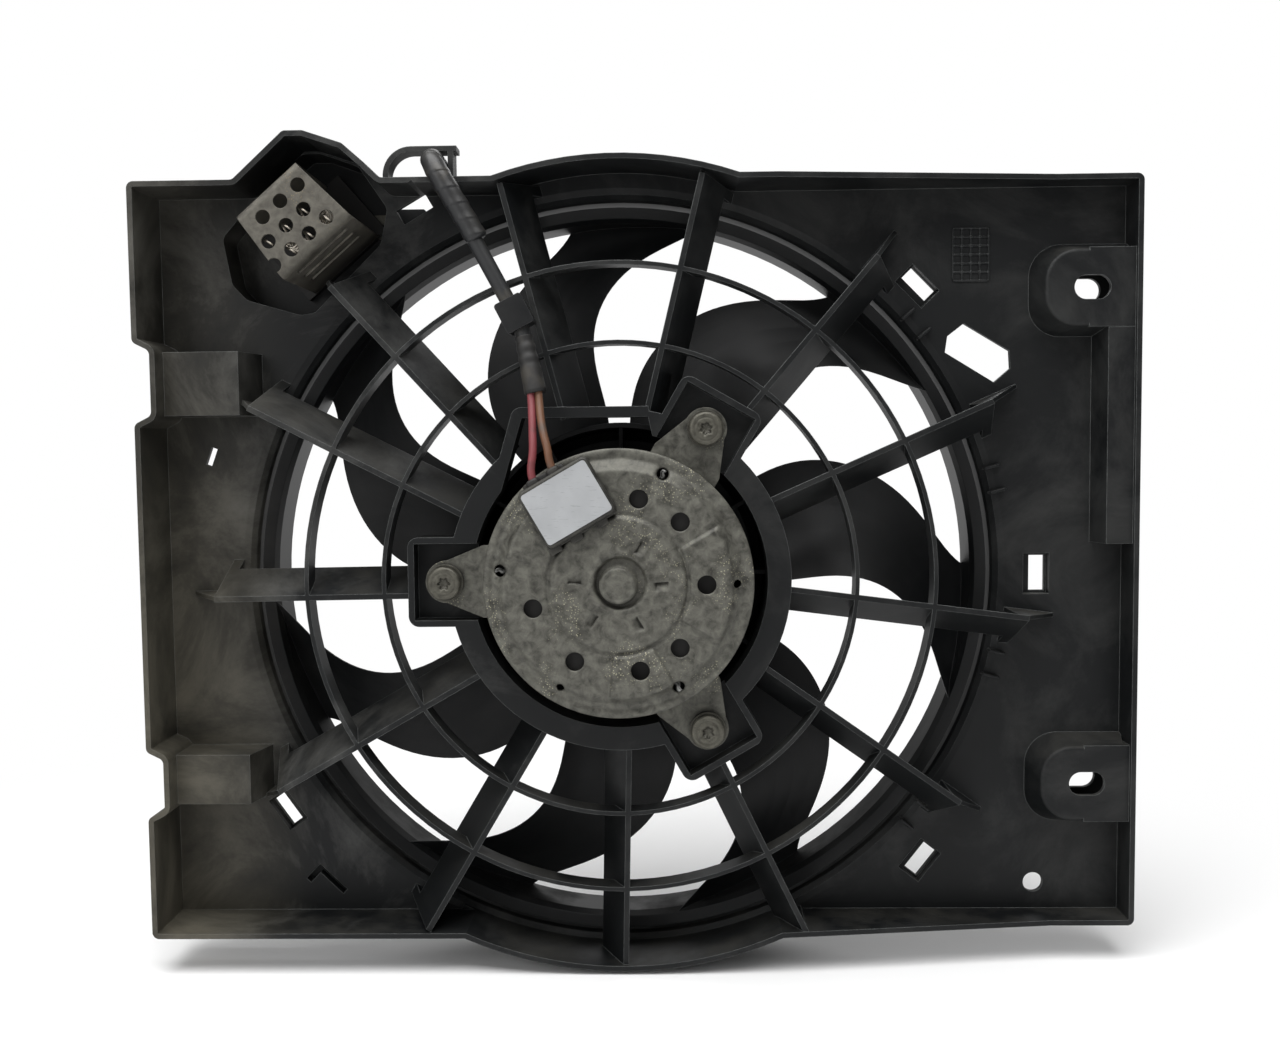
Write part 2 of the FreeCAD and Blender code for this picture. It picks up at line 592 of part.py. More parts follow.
def rib(label, angle):
    """Leaning rib from the motor ring to the panel, with a thin gusset that runs down to the panel."""
    lean = "rib_lean / (rib_near - rib_far)"
    half = "rib_thickness / 2"

    def section(low):
        low_side = "-(rib_lean / 2 + (rib_far - (%s)) * %s)" % (low, lean)
        return [("-rib_near", "rib_lean / 2 + " + half), ("-rib_near", "rib_lean / 2 - " + half),
                ("-(%s)" % low, "%s - %s" % (low_side, half)), ("-(%s)" % low, "%s + %s" % (low_side, half))]

    body = new_body(label)
    rim = "opening_radius + opening_roll"
    extrude(body, label + "_blade", lambda sketch: draw_polygon(sketch, section("rib_far")),
            "carrier_outer - 1", rim, role="YZ_Plane")
    extrude(body, label + "_foot", lambda sketch: draw_polygon(sketch, section("-1")),
            rim + " - 0.5", "rib_foot", role="YZ_Plane")
    gusset = [("rib_foot - 4", "-rib_near"), ("rib_foot - 1", "-rib_near"), ("gusset_reach", "0"),
              ("gusset_reach", "1"), ("rib_foot - 4", "1")]
    extrude(body, label + "_gusset", lambda sketch: draw_polygon(sketch, gusset),
            "rib_lean / 2 - gusset_thickness / 2", "rib_lean / 2 + gusset_thickness / 2", role="XY_Plane")
    place(body, turned=str(angle))
    return body


def guard_ring(label, radius):
    """Thin hoop that ties the ribs together."""
    body = new_body(label)
    turn(body, label + "_bar", tube(radius + " - ring_bar / 2", radius + " + ring_bar / 2",
                                    "ring_near - ring_bar_depth", "ring_near"))
    return body


def bay_corners(inset):
    """Outline of the carrier's bay at the upper left, where the wires reach the motor."""
    return [("bay_left_x + %s" % inset, "bay_left_z"),
            ("bay_corner_x + 0.8 * (%s)" % inset, "bay_corner_z - %s" % inset),
            ("bay_right_x", "bay_corner_z - %s" % inset),
            ("bay_right_x + 4", "carrier_inner - 12"), ("0", "30")]


def motor_carrier():
    """Ring round the motor with three pockets for the bolts and a bay for the wires."""
    low, near = "carrier_near - carrier_depth", "carrier_near"
    body = new_body("motor_carrier")
    disc(body, "carrier_disc", "0", "0", "carrier_outer", low, near)
    slab(body, "carrier_bay_block", bay_corners("0"), low, near)
    pocket = slab(body, "carrier_pocket_block",
                  rectangle("-pocket_outer", "-carrier_inner", "-pocket_half_width", "pocket_half_width"),
                  low, near)
    doc.recompute()
    repeat(body, "carrier_pocket_blocks", [pocket], "bolt_count")
    boss = disc(body, "carrier_boss", "-bolt_circle", "0", "nut_radius + 3", low + " - nut_height - 1", low)
    doc.recompute()
    repeat(body, "carrier_bosses", [boss], "bolt_count")
    hollow = slab(body, "carrier_pocket",
                  rectangle("-(pocket_outer - pocket_skin)", "-(carrier_inner - 20)",
                            "-(pocket_half_width - pocket_skin)", "pocket_half_width - pocket_skin"),
                  "pocket_floor", near, cut=True)
    doc.recompute()
    repeat(body, "carrier_pockets", [hollow], "bolt_count")
    disc(body, "carrier_bore", "0", "0", "carrier_inner", low, near, cut=True)
    slab(body, "carrier_bay", bay_corners("5"), low, near, cut=True)
    doc.recompute()
    round_edges(body, "carrier_corners", "carrier_corner",
                lambda edge: is_upright(edge) and edge.Length > value("carrier_depth") - 0.1
                and Vector(edge.Vertexes[0].X, 0, edge.Vertexes[0].Z).Length > value("carrier_outer + 10"))
    hole = disc(body, "carrier_hole", "-bolt_circle", "0", "screw_radius + 0.2", low + " - nut_height - 1",
                "pocket_floor", cut=True)
    seat = disc(body, "carrier_nut_seat", "-bolt_circle", "0", "nut_radius", low + " - nut_height - 1",
                low + " - 1", cut=True)
    doc.recompute()
    repeat(body, "carrier_holes", [hole, seat], "bolt_count")
    return body


def rib_spaces():
    """What the ribs stop short of: the bolt pockets, the nuts under them and the resistor's well."""
    pocket = new_body("pocket_space")
    side = "pocket_half_width - pocket_skin"
    slab(pocket, "pocket_space_block", rectangle("-(pocket_outer - pocket_skin)", "-(carrier_inner - 20)",
                                                 "-(%s)" % side, side), "pocket_floor", "rib_near + 1")
    nut = new_body("nut_space")
    disc(nut, "nut_space_block", "-bolt_circle", "0", "nut_radius + 1", "rib_far - 1", "pocket_floor")
    well = new_body("well_space")
    slab(well, "well_space_block", well_corners("0"), "-panel_skin", "rib_near + 1")
    return boolean("MultiFuse", "rib_spaces", [ring_of("pocket_spaces", pocket, "bolt_count"),
                                               ring_of("nut_spaces", nut, "bolt_count"), well])


def cable_hook():
    """Gate on the outside of the top wall that holds the cable: a curved leg, a bar and a stem."""
    body = new_body("cable_hook")
    near, back = "wall_height - 4", "wall_height - 14"
    top = "hook_z + hook_radius"
    disc(body, "hook_arch", "hook_x", "hook_z", "hook_radius", back, near)
    slab(body, "hook_bar", rectangle("hook_x", "hook_x + hook_reach", top + " - hook_skin", top), back, near)
    slab(body, "hook_stem", rectangle("hook_x + hook_stem", "hook_x + hook_stem + hook_skin",
                                      "panel_top - panel_skin / 2", top), back, near)
    disc(body, "hook_eye", "hook_x", "hook_z", "hook_radius - hook_skin", back, near, cut=True)
    slab(body, "hook_trim", rectangle("hook_x - hook_radius - 1", "hook_x + hook_radius + 1",
                                      "hook_z - hook_radius - 1", "panel_top - panel_skin / 2"), back, near,
         cut=True)
    slab(body, "hook_gap", rectangle("hook_x", "hook_x + hook_stem", "panel_top - panel_skin / 2",
                                     top + " - hook_skin"), back, near, cut=True)
    return body


def shroud():
    """Whole shroud as one moulding."""
    ribs = [rib("rib_%d" % number, angle) for number, angle in enumerate(rib_angles, 1)]
    rib_set = boolean("MultiFuse", "rib_set", ribs)
    rib_trim = boolean("MultiCommon", "rib_trim", [rib_set, shroud_block("shroud_envelope")])
    rib_ends = boolean("Cut", "rib_ends", [rib_trim, rib_spaces()])
    upper, lower = ("notch_upper", "notch_upper_span"), ("notch_lower", "notch_lower_span")
    shapes = [shroud_tray(), resistor_well(), barrel(), keel_root(), edge_pad("edge_pad_upper", *upper),
              edge_pad("edge_pad_lower", *lower), slot_boss("slot_boss_upper", "slot_upper_z"),
              slot_boss("slot_boss_lower", "slot_lower_z"), edge_strip(), rib_ends,
              guard_ring("outer_guard_ring", "outer_ring_radius"),
              guard_ring("inner_guard_ring", "inner_ring_radius"), motor_carrier(), cable_hook(),
              catch_slot("catch_box")]
    shapes += [recess("recess_box_%d" % number, *window) for number, window in enumerate(deep_windows, 1)]
    moulding = boolean("MultiFuse", "moulding", shapes)
    cutters = [through_window("window_%d" % number, *window) for number, window in enumerate(windows, 1)]
    cutters += [through_window("deep_window_%d" % number, *window[:-1])
                for number, window in enumerate(deep_windows, 1)]
    cutters += [recess("recess_cut_%d" % number, *window, cut=True)
                for number, window in enumerate(deep_windows, 1)]
    cutters += [through_slot("slot_upper", "slot_x", "slot_upper_z", "slot_length", "slot_width"),
                through_slot("slot_lower", "slot_x", "slot_lower_z", "slot_length", "slot_width"),
                hatch(), catch_slot("catch_cut", cut=True),
                pad_hollow("upper_pad_space", *upper), pad_hollow("lower_pad_space", *lower)]
    hole = new_body("locating_hole")
    disc(hole, "locating_hole_cut", "locating_hole_x", "locating_hole_z", "locating_hole_radius",
         "-panel_skin - 1", "wall_height")
    cutters.append(hole)
    cutters += [terminal("wall_slot_1", "terminal_z_1", "0.1"),
                terminal("wall_slot_2", "terminal_z_2", "0.1")]
    return boolean("Cut", "shroud", [moulding, boolean("MultiFuse", "cutters", cutters)])


# Fan wheel

def turned_piece(label, profiles):
    """Piece turned about the fan's axis from one or more profiles."""
    body = new_body(label)
    for number, profile in enumerate(profiles, 1):
        turn(body, "%s_turn_%d" % (label, number), profile)
    return body


def blade(label, middle):
    """Swept blade, lofted through flat sections whose edges follow the stations."""
    near, back, bow = value("blade_near"), value("blade_back"), value("blade_camber")
    thick = value("blade_thickness")
    sections = []
    for share, lead, trail in blade_stations:
        radius = value("hub_radius + %g * (hoop_radius - hub_radius)" % share)
        lead_end = around(radius, middle + lead, back)
        trail_end = around(radius, middle + trail, near)
        front = []
        rear = []
        for step in range(6):
            along = step / 5
            edge_thin = thick * (1 - 0.5 * abs(2 * along - 1) ** 3)
            point = trail_end + (lead_end - trail_end) * along + Vector(0, 4 * bow * along * (1 - along), 0)
            front.append(point)
            rear.append(point + Vector(0, edge_thin, 0))
        splines = []
        for points in (front, rear[::-1]):
            curve = Part.BSplineCurve()
            curve.interpolate(points)
            splines.append(curve.toShape())
        ends = [Part.makeLine(front[-1], rear[-1]), Part.makeLine(rear[0], front[0])]
        sections.append(Part.Wire([splines[0], ends[0], splines[1], ends[1]]))
    return computed(label, Part.makeLoft(sections, True, False))


def fan_wheel():
    """Hub, seven unevenly spaced blades and the hoop round their tips, as one moulding."""
    blades = [blade("blade_%d" % number, angle) for number, angle in enumerate(blade_angles, 1)]
    reach = turned_piece("blade_reach", [tube("hub_radius - hub_skin / 2", "hoop_radius + hoop_skin / 2",
                                              "hoop_back - 20", "hub_near + 20")])
    trimmed = boolean("MultiCommon", "blades_trimmed", [boolean("MultiFuse", "blade_set", blades), reach])
    inner, floor = "hub_radius - hub_skin", "hub_back + hub_skin"
    hub = new_body("fan_hub")
    turn(hub, "hub_cup", [("hub_bore", "hub_back"), ("hub_radius - hub_fillet", "hub_back"),
                          ("hub_radius - 0.3 * hub_fillet", "hub_back + 0.3 * hub_fillet"),
                          ("hub_radius", "hub_back + hub_fillet"), ("hub_radius", "hub_near"),
                          (inner, "hub_near"), (inner, floor + " + hub_fillet"),
                          (inner + " - 0.3 * hub_fillet", floor + " + 0.3 * hub_fillet"),
                          (inner + " - hub_fillet", floor), ("hub_bore", floor)])
    web = slab(hub, "hub_web", rectangle("driver_radius + 3", inner + " + hub_skin / 2", "-hub_web / 2",
                                         "hub_web / 2"), floor, "hub_web_near")
    doc.recompute()
    repeat(hub, "hub_webs", [web], "hub_web_count")
    hole = disc(hub, "hub_hole", "driver_screw_circle", "0", "driver_screw_radius + 0.15", "hub_back", floor,
                cut=True)
    doc.recompute()
    repeat(hub, "hub_holes", [hole], "bolt_count")
    outer = "hoop_radius + hoop_skin"
    hoop = turned_piece("fan_hoop", [[("hoop_radius", "hoop_back"), (outer, "hoop_back"),
                                      (outer, "hoop_near - 7.5"),
                                      (outer + " + 1", "hoop_near - 4.5"), ("hoop_lip", "hoop_near - 2.4"),
                                      ("hoop_lip", "hoop_near"), ("hoop_radius + 1.6", "hoop_near - 2.2"),
                                      ("hoop_radius", "hoop_near - 6")]])
    doc.recompute()
    return computed("fan_wheel", hub.Shape.fuse([hoop.Shape] + trimmed.Shape.Solids, 0.0001))


def hexagon(x, z, radius):
    """Corners of a hexagon, given its centre and its radius to a corner."""
    turns = [(1, 0), (0.5, 0.866), (-0.5, 0.866), (-1, 0), (-0.5, -0.866), (0.5, -0.866)]
    return [("%s + %g * (%s)" % (x, a, radius), "%s + %g * (%s)" % (z, b, radius)) for a, b in turns]


def fan_driver():
    """Metal hub on the motor's shaft that the fan wheel is screwed to."""
    floor = "hub_back + hub_skin"
    body = new_body("fan_driver")
    turn(body, "driver_turn", [("shaft_radius", floor), ("driver_radius", floor),
                               ("driver_radius", floor + " + driver_thickness"),
                               ("driver_hub_radius", floor + " + driver_thickness"),
                               ("driver_hub_radius", floor + " + driver_thickness + driver_hub_length"),
                               ("shaft_radius", floor + " + driver_thickness + driver_hub_length")])
    hole = disc(body, "driver_hole", "driver_screw_circle", "0", "driver_screw_radius", floor,
                floor + " + driver_thickness", cut=True)
    doc.recompute()
    repeat(body, "driver_holes", [hole], "bolt_count")
    return body


def driver_screw():
    body = new_body("driver_screw")
    disc(body, "driver_screw_shank", "driver_screw_circle", "0", "driver_screw_radius", "hub_back",
         "hub_back + hub_skin + driver_thickness + 1")
    disc(body, "driver_screw_pan", "driver_screw_circle", "0", "driver_screw_head", "hub_back - 2.2",
         "hub_back")
    slab(body, "driver_screw_recess", hexagon("driver_screw_circle", "0", "driver_screw_head / 2"),
         "hub_back - 2.2", "hub_back - 0.8", cut=True)
    return body


# Motor: rotor pieces

def motor_shaft():
    body = new_body("motor_shaft")
    disc(body, "shaft_rod", "0", "0", "shaft_radius", "hub_back + 1", "cap_boss_near - cap_skin - 0.4")
    doc.recompute()
    round_edges(body, "shaft_ends", "0.6", lambda edge: len(edge.Vertexes) == 1)
    return body


def armature_core():
    """Laminated core with slots for the windings."""
    body = new_body("armature_core")
    turn(body, "core_stack", tube("shaft_radius", "core_radius", "core_back", "core_near"))
    slot = slab(body, "core_slot", rectangle("core_radius - core_slot_depth", "core_radius + 1",
                                             "-core_slot_width / 2", "core_slot_width / 2"),
                "core_back", "core_near", cut=True)
    doc.recompute()
    repeat(body, "core_slot_ring", [slot], "core_slots")
    return body


def armature_windings():
    """Copper in the slots, joined by rounded heads at both ends of the core."""
    outer = "core_radius - 4"
    body = new_body("armature_windings")
    for side, low, high in (("near", "core_near", "core_near + coil_overhang"),
                            ("far", "core_back - coil_overhang", "core_back")):
        turn(body, "coil_head_" + side, tube("coil_inner", outer, low, high))
    bar = slab(body, "coil_bar", rectangle("core_radius - core_slot_depth + 0.4", outer,
                                           "-(core_slot_width / 2 - 0.4)", "core_slot_width / 2 - 0.4"),
               "core_back", "core_near")
    doc.recompute()
    repeat(body, "coil_bars", [bar], "core_slots")
    return body


def commutator():
    body = new_body("commutator")
    turn(body, "commutator_drum", tube("shaft_radius", "commutator_radius", "core_near", "commutator_near"))
    groove = slab(body, "commutator_groove", rectangle("commutator_radius - 1", "commutator_radius + 1",
                                                       "-0.3", "0.3"), "core_near + 2", "commutator_near",
                                                       cut=True)
    doc.recompute()
    repeat(body, "commutator_grooves", [groove], "commutator_bars")
    return body


# Motor: still pieces

def motor_can():
    """Deep-drawn steel can with three mounting lugs and a collar for the rear bearing."""
    inner, floor = "can_radius - can_skin", "can_back + can_skin"
    body = new_body("motor_can")
    turn(body, "can_cup", [("bearing_radius", "can_back"), ("can_radius - 4", "can_back"),
                           ("can_radius - 1.2", "can_back + 1.2"), ("can_radius", "can_back + 4"),
                           ("can_radius", "can_near"), (inner, "can_near"), (inner, floor + " + 2"),
                           (inner + " - 2", floor), ("bearing_radius + can_skin", floor),
                           ("bearing_radius + can_skin", "can_back + bearing_length + 1"),
                           ("bearing_radius", "can_back + bearing_length + 1")])
    low = "lug_near - lug_thickness"
    lug = slab(body, "lug_plate", [("-can_radius + can_skin", "-lug_root_half"),
                                   ("-can_radius - 4", "-lug_root_half"),
                                   ("-bolt_circle", "-lug_end_radius"), ("-bolt_circle", "lug_end_radius"),
                                   ("-can_radius - 4", "lug_root_half"),
                                   ("-can_radius + can_skin", "lug_root_half")],
               low, "lug_near")
    doc.recompute()
    repeat(body, "lug_plates", [lug], "bolt_count")
    end = disc(body, "lug_end", "-bolt_circle", "0", "lug_end_radius", low, "lug_near")
    doc.recompute()
    repeat(body, "lug_ends", [end], "bolt_count")
    eye = disc(body, "lug_eye", "-bolt_circle", "0", "bushing_neck", low, "lug_near", cut=True)
    doc.recompute()
    repeat(body, "lug_eyes", [eye], "bolt_count")
    disc(body, "can_bore", "0", "0", "can_radius - can_skin", low, "lug_near", cut=True)
    return body


def motor_end_cap():
    """Pressed cap on the motor's near end, with vents and a boss for the front bearing."""
    inner = "cap_radius - cap_skin"
    body = new_body("motor_end_cap")
    turn(body, "cap_shell", [("bearing_radius", "cap_boss_near - cap_skin"),
                             ("0", "cap_boss_near - cap_skin"),
                             ("0", "cap_boss_near"), ("cap_boss_radius - 1.5", "cap_boss_near"),
                             ("cap_boss_radius", "cap_boss_near - 1.5"),
                             ("cap_boss_radius", "cap_near - cap_dish_drop"),
                             ("cap_dish_radius - 2", "cap_near - cap_dish_drop"),
                             ("cap_dish_radius", "cap_near"),
                             ("cap_step_radius", "cap_near"), ("cap_shoulder", "cap_near - 3.5"),
                             ("cap_radius", "can_near + cap_skin"),
                             ("cap_radius", "can_near - cap_rim_depth"),
                             (inner, "can_near - cap_rim_depth"), (inner, "can_near"),
                             ("cap_shoulder - 2", "can_near"), ("cap_step_radius - 1", "cap_near - cap_skin"),
                             ("cap_dish_radius", "cap_near - cap_skin"),
                             ("cap_dish_radius - 2", "cap_near - cap_dish_drop - cap_skin"),
                             ("cap_boss_radius", "cap_near - cap_dish_drop - cap_skin"),
                             ("cap_boss_radius", "cap_boss_near - cap_skin - bearing_length"),
                             ("bearing_radius", "cap_boss_near - cap_skin - bearing_length")])
    for number, angle in enumerate(vent_angles, 1):
        along = math.radians(angle)
        disc(body, "vent_%d" % number, "vent_circle * %g" % math.cos(along),
             "vent_circle * %g" % math.sin(along),
             "vent_radius", "can_near", "cap_near", cut=True)
    for number, angle in enumerate(eye_angles, 1):
        along = math.radians(angle)
        disc(body, "cap_eye_%d" % number, "cap_eye_circle * %g" % math.cos(along),
             "cap_eye_circle * %g" % math.sin(along), "cap_eye_radius", "can_near - 1", "cap_near", cut=True)
    return body


def magnet():
    """One curved magnet; the group of four lines the can."""
    outer = "can_radius - can_skin"
    body = new_body("magnet")
    turn(body, "magnet_ring", tube(outer + " - magnet_thickness", outer, "magnet_back", "magnet_near"))
    away = "can_radius + 10"
    slab(body, "magnet_ends", [("0", "0"), (away, away), ("-(%s)" % away, away),
                               ("-(%s)" % away, "-(%s)" % away),
                               (away, "-(%s)" % away)], "magnet_back", "magnet_near", cut=True)
    slab(body, "magnet_gap_cut", rectangle("0", away, "-(%s)" % away, "-(can_radius - magnet_gap) / sqrt(2)"),
         "magnet_back", "magnet_near", cut=True)
    slab(body, "magnet_gap_cut_2", rectangle("0", away, "(can_radius - magnet_gap) / sqrt(2)", away),
         "magnet_back", "magnet_near", cut=True)
    return body


def bearing(label, low):
    high = low + " + bearing_length"
    return turned_piece(label, [tube("shaft_radius + bearing_clearance", "bearing_radius", low, high)])


def brush_plate():
    """Insulating plate behind the cap with a box for each brush."""
    low, high = "brush_plate_near - brush_plate_skin", "brush_plate_near"
    half = "(brush_width / 2 + brush_holder_skin)"
    body = new_body("brush_plate")
    turn(body, "plate_ring", tube("brush_plate_inner", "brush_plate_outer", low, high))
    box = slab(body, "brush_box", rectangle("brush_plate_inner", "brush_box_end", "-" + half, half),
               low + " - brush_height - brush_holder_skin - 0.2", low)
    doc.recompute()
    repeat(body, "brush_boxes", [box], "brush_count")
    space = slab(body, "brush_space", rectangle("brush_plate_inner - 1", "brush_box_end - brush_holder_skin",
                                                "-(brush_width / 2 + 0.1)", "brush_width / 2 + 0.1"),
                 low + " - brush_height - 0.2", low, cut=True)
    doc.recompute()
    repeat(body, "brush_spaces", [space], "brush_count")
    return body


def brush():
    top = "brush_plate_near - brush_plate_skin - 0.1"
    start = "commutator_radius + 0.3"
    body = new_body("brush")
    slab(body, "brush_block", rectangle(start, start + " + brush_length", "-brush_width / 2",
                                        "brush_width / 2"),
         top + " - brush_height", top)
    return body


def coil(label, radius, wire, turns, length, start, across, along):
    """Round-wire coil of short runs and arcs, six to a turn, from a point along a direction."""
    side = along.cross(across)
    points = []
    for step in range(6 * turns + 1):
        angle = math.radians(60 * step)
        points.append(start + across * radius * math.cos(angle) + side * radius * math.sin(angle)
                      + along * length * step / (6 * turns))
    return swept(label, points, wire)


def brush_spring():
    start = value("commutator_radius + 0.4 + brush_length + spring_wire")
    height = value("brush_plate_near - brush_plate_skin - 0.1 - brush_height / 2")
    length = value("brush_box_end - brush_holder_skin - 0.2 - spring_wire") - start
    return coil("brush_spring", value("spring_radius"), value("spring_wire"), 4, length,
                Vector(start, -height, 0), Vector(0, 0, 1), Vector(1, 0, 0))


# Brush cover and its plate

def brush_cover():
    """Box on the motor's end over the brush leads; two wires enter at its upper left side."""
    half_length, half_width = "cover_length / 2", "cover_width / 2"
    low = "cap_near - cap_dish_drop"
    body = new_body("cover_box")
    slab(body, "cover_block", rectangle("-" + half_length, half_length, "-" + half_width, half_width),
         low, "cover_near")
    doc.recompute()
    round_edges(body, "cover_upright", "cover_corner", is_upright)
    doc.recompute()
    front = -value("cover_near")
    round_edges(body, "cover_rim", "cover_corner / 2",
                lambda edge: all(abs(vertex.Y - front) < 1e-6 for vertex in edge.Vertexes))
    slab(body, "cover_hollow", rectangle("-(%s - cover_skin)" % half_length, half_length + " - cover_skin",
                                         "-(%s - cover_skin)" % half_width, half_width + " - cover_skin"),
         low, "cover_near - cover_skin", cut=True)
    for name, across in (("red_entry", "red_entry_u"), ("brown_entry", "brown_entry_u")):
        entry = sketch_on(body, name + "_sketch", "XY_Plane", half_width + " - 2 * cover_skin")
        draw_circle(entry, across, "-wire_entry_height", "wire_radius + 0.1")
        hole = body.newObject("PartDesign::Pocket", name)
        hole.Profile = entry
        hole.Reversed = True
        hole.setExpression("Length", bound("3 * cover_skin"))
    place(body, "cover_x", "0", "cover_z", "cover_turn")
    dish = "cap_near - cap_dish_drop"
    cap_face = turned_piece("cap_face", [[("cap_dish_radius - 2", dish + " - 5"),
                                          ("cap_radius", dish + " - 5"),
                                          ("cap_radius", "cap_near"), ("cap_dish_radius", "cap_near"),
                                          ("cap_dish_radius - 2", dish)]])
    return boolean("Cut", "brush_cover", [body, cap_face])


def name_plate():
    body = new_body("name_plate")
    slab(body, "plate_block", rectangle("-plate_length / 2", "plate_length / 2", "-plate_width / 2",
                                        "plate_width / 2"), "cover_near", "cover_near + plate_thickness")
    doc.recompute()
    round_edges(body, "plate_corners", "plate_corner", is_upright)
    place(body, "cover_x", "0", "cover_z", "cover_turn")
    return body


# Motor fastenings, each drawn on the left bolt's axis

def bushing():
    """Rubber bushing with a flange on either side of the lug."""
    low = "lug_near - lug_thickness"
    body = new_body("bushing")
    disc(body, "bushing_lower", "-bolt_circle", "0", "bushing_radius", "pocket_floor", low)
    disc(body, "bushing_neck_part", "-bolt_circle", "0", "bushing_neck", low, "lug_near")
    disc(body, "bushing_upper", "-bolt_circle", "0", "bushing_radius", "lug_near",
         "lug_near + bushing_flange")
    disc(body, "bushing_bore", "-bolt_circle", "0", "sleeve_radius", "pocket_floor",
         "lug_near + bushing_flange",
         cut=True)
    return body


def spacer_sleeve():
    body = new_body("spacer_sleeve")
    top = "lug_near + bushing_flange"
    disc(body, "sleeve_outside", "-bolt_circle", "0", "sleeve_radius", "pocket_floor", top)
    disc(body, "sleeve_bore", "-bolt_circle", "0", "screw_radius + 0.1", "pocket_floor", top, cut=True)
    return body


def mount_washer():
    body = new_body("mount_washer")
    low = "lug_near + bushing_flange"
    disc(body, "washer_disc", "-bolt_circle", "0", "washer_radius", low, low + " + washer_thickness")
    disc(body, "washer_hole", "-bolt_circle", "0", "screw_radius + 0.2", low, low + " + washer_thickness",
         cut=True)
    return body


def mount_screw():
    body = new_body("mount_screw")
    seat = "lug_near + bushing_flange + washer_thickness"
    top = seat + " + screw_head_height"
    disc(body, "screw_shank", "-bolt_circle", "0", "screw_radius", seat + " - screw_length", seat)
    disc(body, "screw_head", "-bolt_circle", "0", "screw_head_radius", seat, top)
    doc.recompute()
    front = -value(top)
    round_edges(body, "screw_crown", "0.35 * screw_head_height",
                lambda edge: all(abs(vertex.Y - front) < 1e-6 for vertex in edge.Vertexes))
    slab(body, "screw_recess", hexagon("-bolt_circle", "0", "0.45 * screw_head_radius"),
         seat + " + 0.35 * screw_head_height", top, cut=True)
    return body


def mount_nut():
    body = new_body("mount_nut")
    top = "carrier_near - carrier_depth - 1"
    slab(body, "nut_block", hexagon("-bolt_circle", "0", "nut_radius"), top + " - nut_height", top)
    disc(body, "nut_bore", "-bolt_circle", "0", "screw_radius", top + " - nut_height", top, cut=True)
    return body


# Series resistor

def resistor_guard():
    """Bent steel sheet over the resistor: a pierced top and two walls down to the base."""
    half, depth, skin = "guard_width / 2", "guard_near", "guard_skin"
    foot = "-well_depth + base_thickness"
    body = new_body("resistor_guard")
    profile = [("-(%s)" % foot, "-" + half), ("-" + depth, "-" + half), ("-" + depth, half),
               ("-(%s)" % foot, half),
               ("-(%s)" % foot, "%s - %s" % (half, skin)),
               ("-(%s - %s)" % (depth, skin), "%s - %s" % (half, skin)),
               ("-(%s - %s)" % (depth, skin), "-(%s - %s)" % (half, skin)),
               ("-(%s)" % foot, "-(%s - %s)" % (half, skin))]
    extrude(body, "guard_sheet", lambda sketch: draw_polygon(sketch, profile), "-guard_length / 2",
            "guard_length / 2", role="YZ_Plane")
    doc.recompute()
    for name, radius, front, side in (("outer", "guard_bend", value(depth), value(half)),
                                      ("inner", "guard_bend - " + skin, value("%s - %s" % (depth, skin)),
                                       value("%s - %s" % (half, skin)))):
        round_edges(body, "guard_bend_" + name, radius,
                    lambda edge: abs(edge.CenterOfMass.y + front) < 1e-6
                    and abs(abs(edge.CenterOfMass.z) - side) < 1e-6)
        doc.recompute()
    back = "guard_length / 2 - guard_taper"
    for side in ("-", ""):
        edge, outer = side + "(%s)" % back, side + "(guard_length)"
        slab(body, "guard_taper_" + ("left" if side else "right"),
             [(edge, half + " + 1"), (outer, half + " + 1"), (outer, "0 - " + half),
              (side + "(guard_length / 2)",
                                                                                     "0 - " + half)],
             foot, "guard_near", cut=True)
    for row, (along, count, start) in enumerate([("hole_row_1", 3, "hole_start"),
                                                 ("hole_row_2", 3, "hole_start - hole_pitch / 2"),
                                                 ("hole_row_3", 4, "hole_start")], 1):
        for number in range(count):
            disc(body, "guard_hole_%d_%d" % (row, number + 1), "%s - %d * hole_pitch" % (start, number),
                 along,
                 "guard_hole", "guard_near - guard_skin", "guard_near", cut=True)
    for number in range(3):
        slab(body, "guard_louvre_%d" % (number + 1),
             rectangle("-guard_length / 2 + 6", "guard_length / 2 - 6", "-(%s + 1)" % half,
                       "-(%s - 2)" % half),
             "guard_near - 12 - %d * louvre_pitch" % number,
             "guard_near - 9 - %d * louvre_pitch" % number, cut=True)
    place(body, "resistor_x", "0", "resistor_z", "resistor_turn")
    return body


def terminal(label, z, margin="0"):
    """Flat blade from the resistor's base to the plug, or the space for it."""
    half = "(terminal_width / 2 + %s)" % margin
    thick = "(terminal_thickness / 2 + %s)" % margin
    body = new_body(label)
    slab(body, label + "_blade", rectangle("resistor_x + 8 - %s" % margin,
                                           "plug_left + plug_length / 2 + %s" % margin,
                                           "%s - %s" % (z, half), "%s + %s" % (z, half)),
         "-terminal_depth - %s" % thick, "-terminal_depth + %s" % thick)
    return body


def wound_element(label, across):
    """Wire coil of the resistor standing on the base."""
    place_at = value("resistor_x + %s * cos(resistor_turn)" % across)
    along = value("resistor_z + %s * sin(resistor_turn)" % across)
    low = value("-well_depth + base_thickness + element_wire")
    return coil(label, value("element_radius"), value("element_wire"), int(value("element_turns")),
                value("element_length"), Vector(place_at, -low, along), Vector(1, 0, 0), Vector(0, -1, 0))


# Wiring

def along_line(start, end, distance):
    return start + (end - start).normalize() * distance


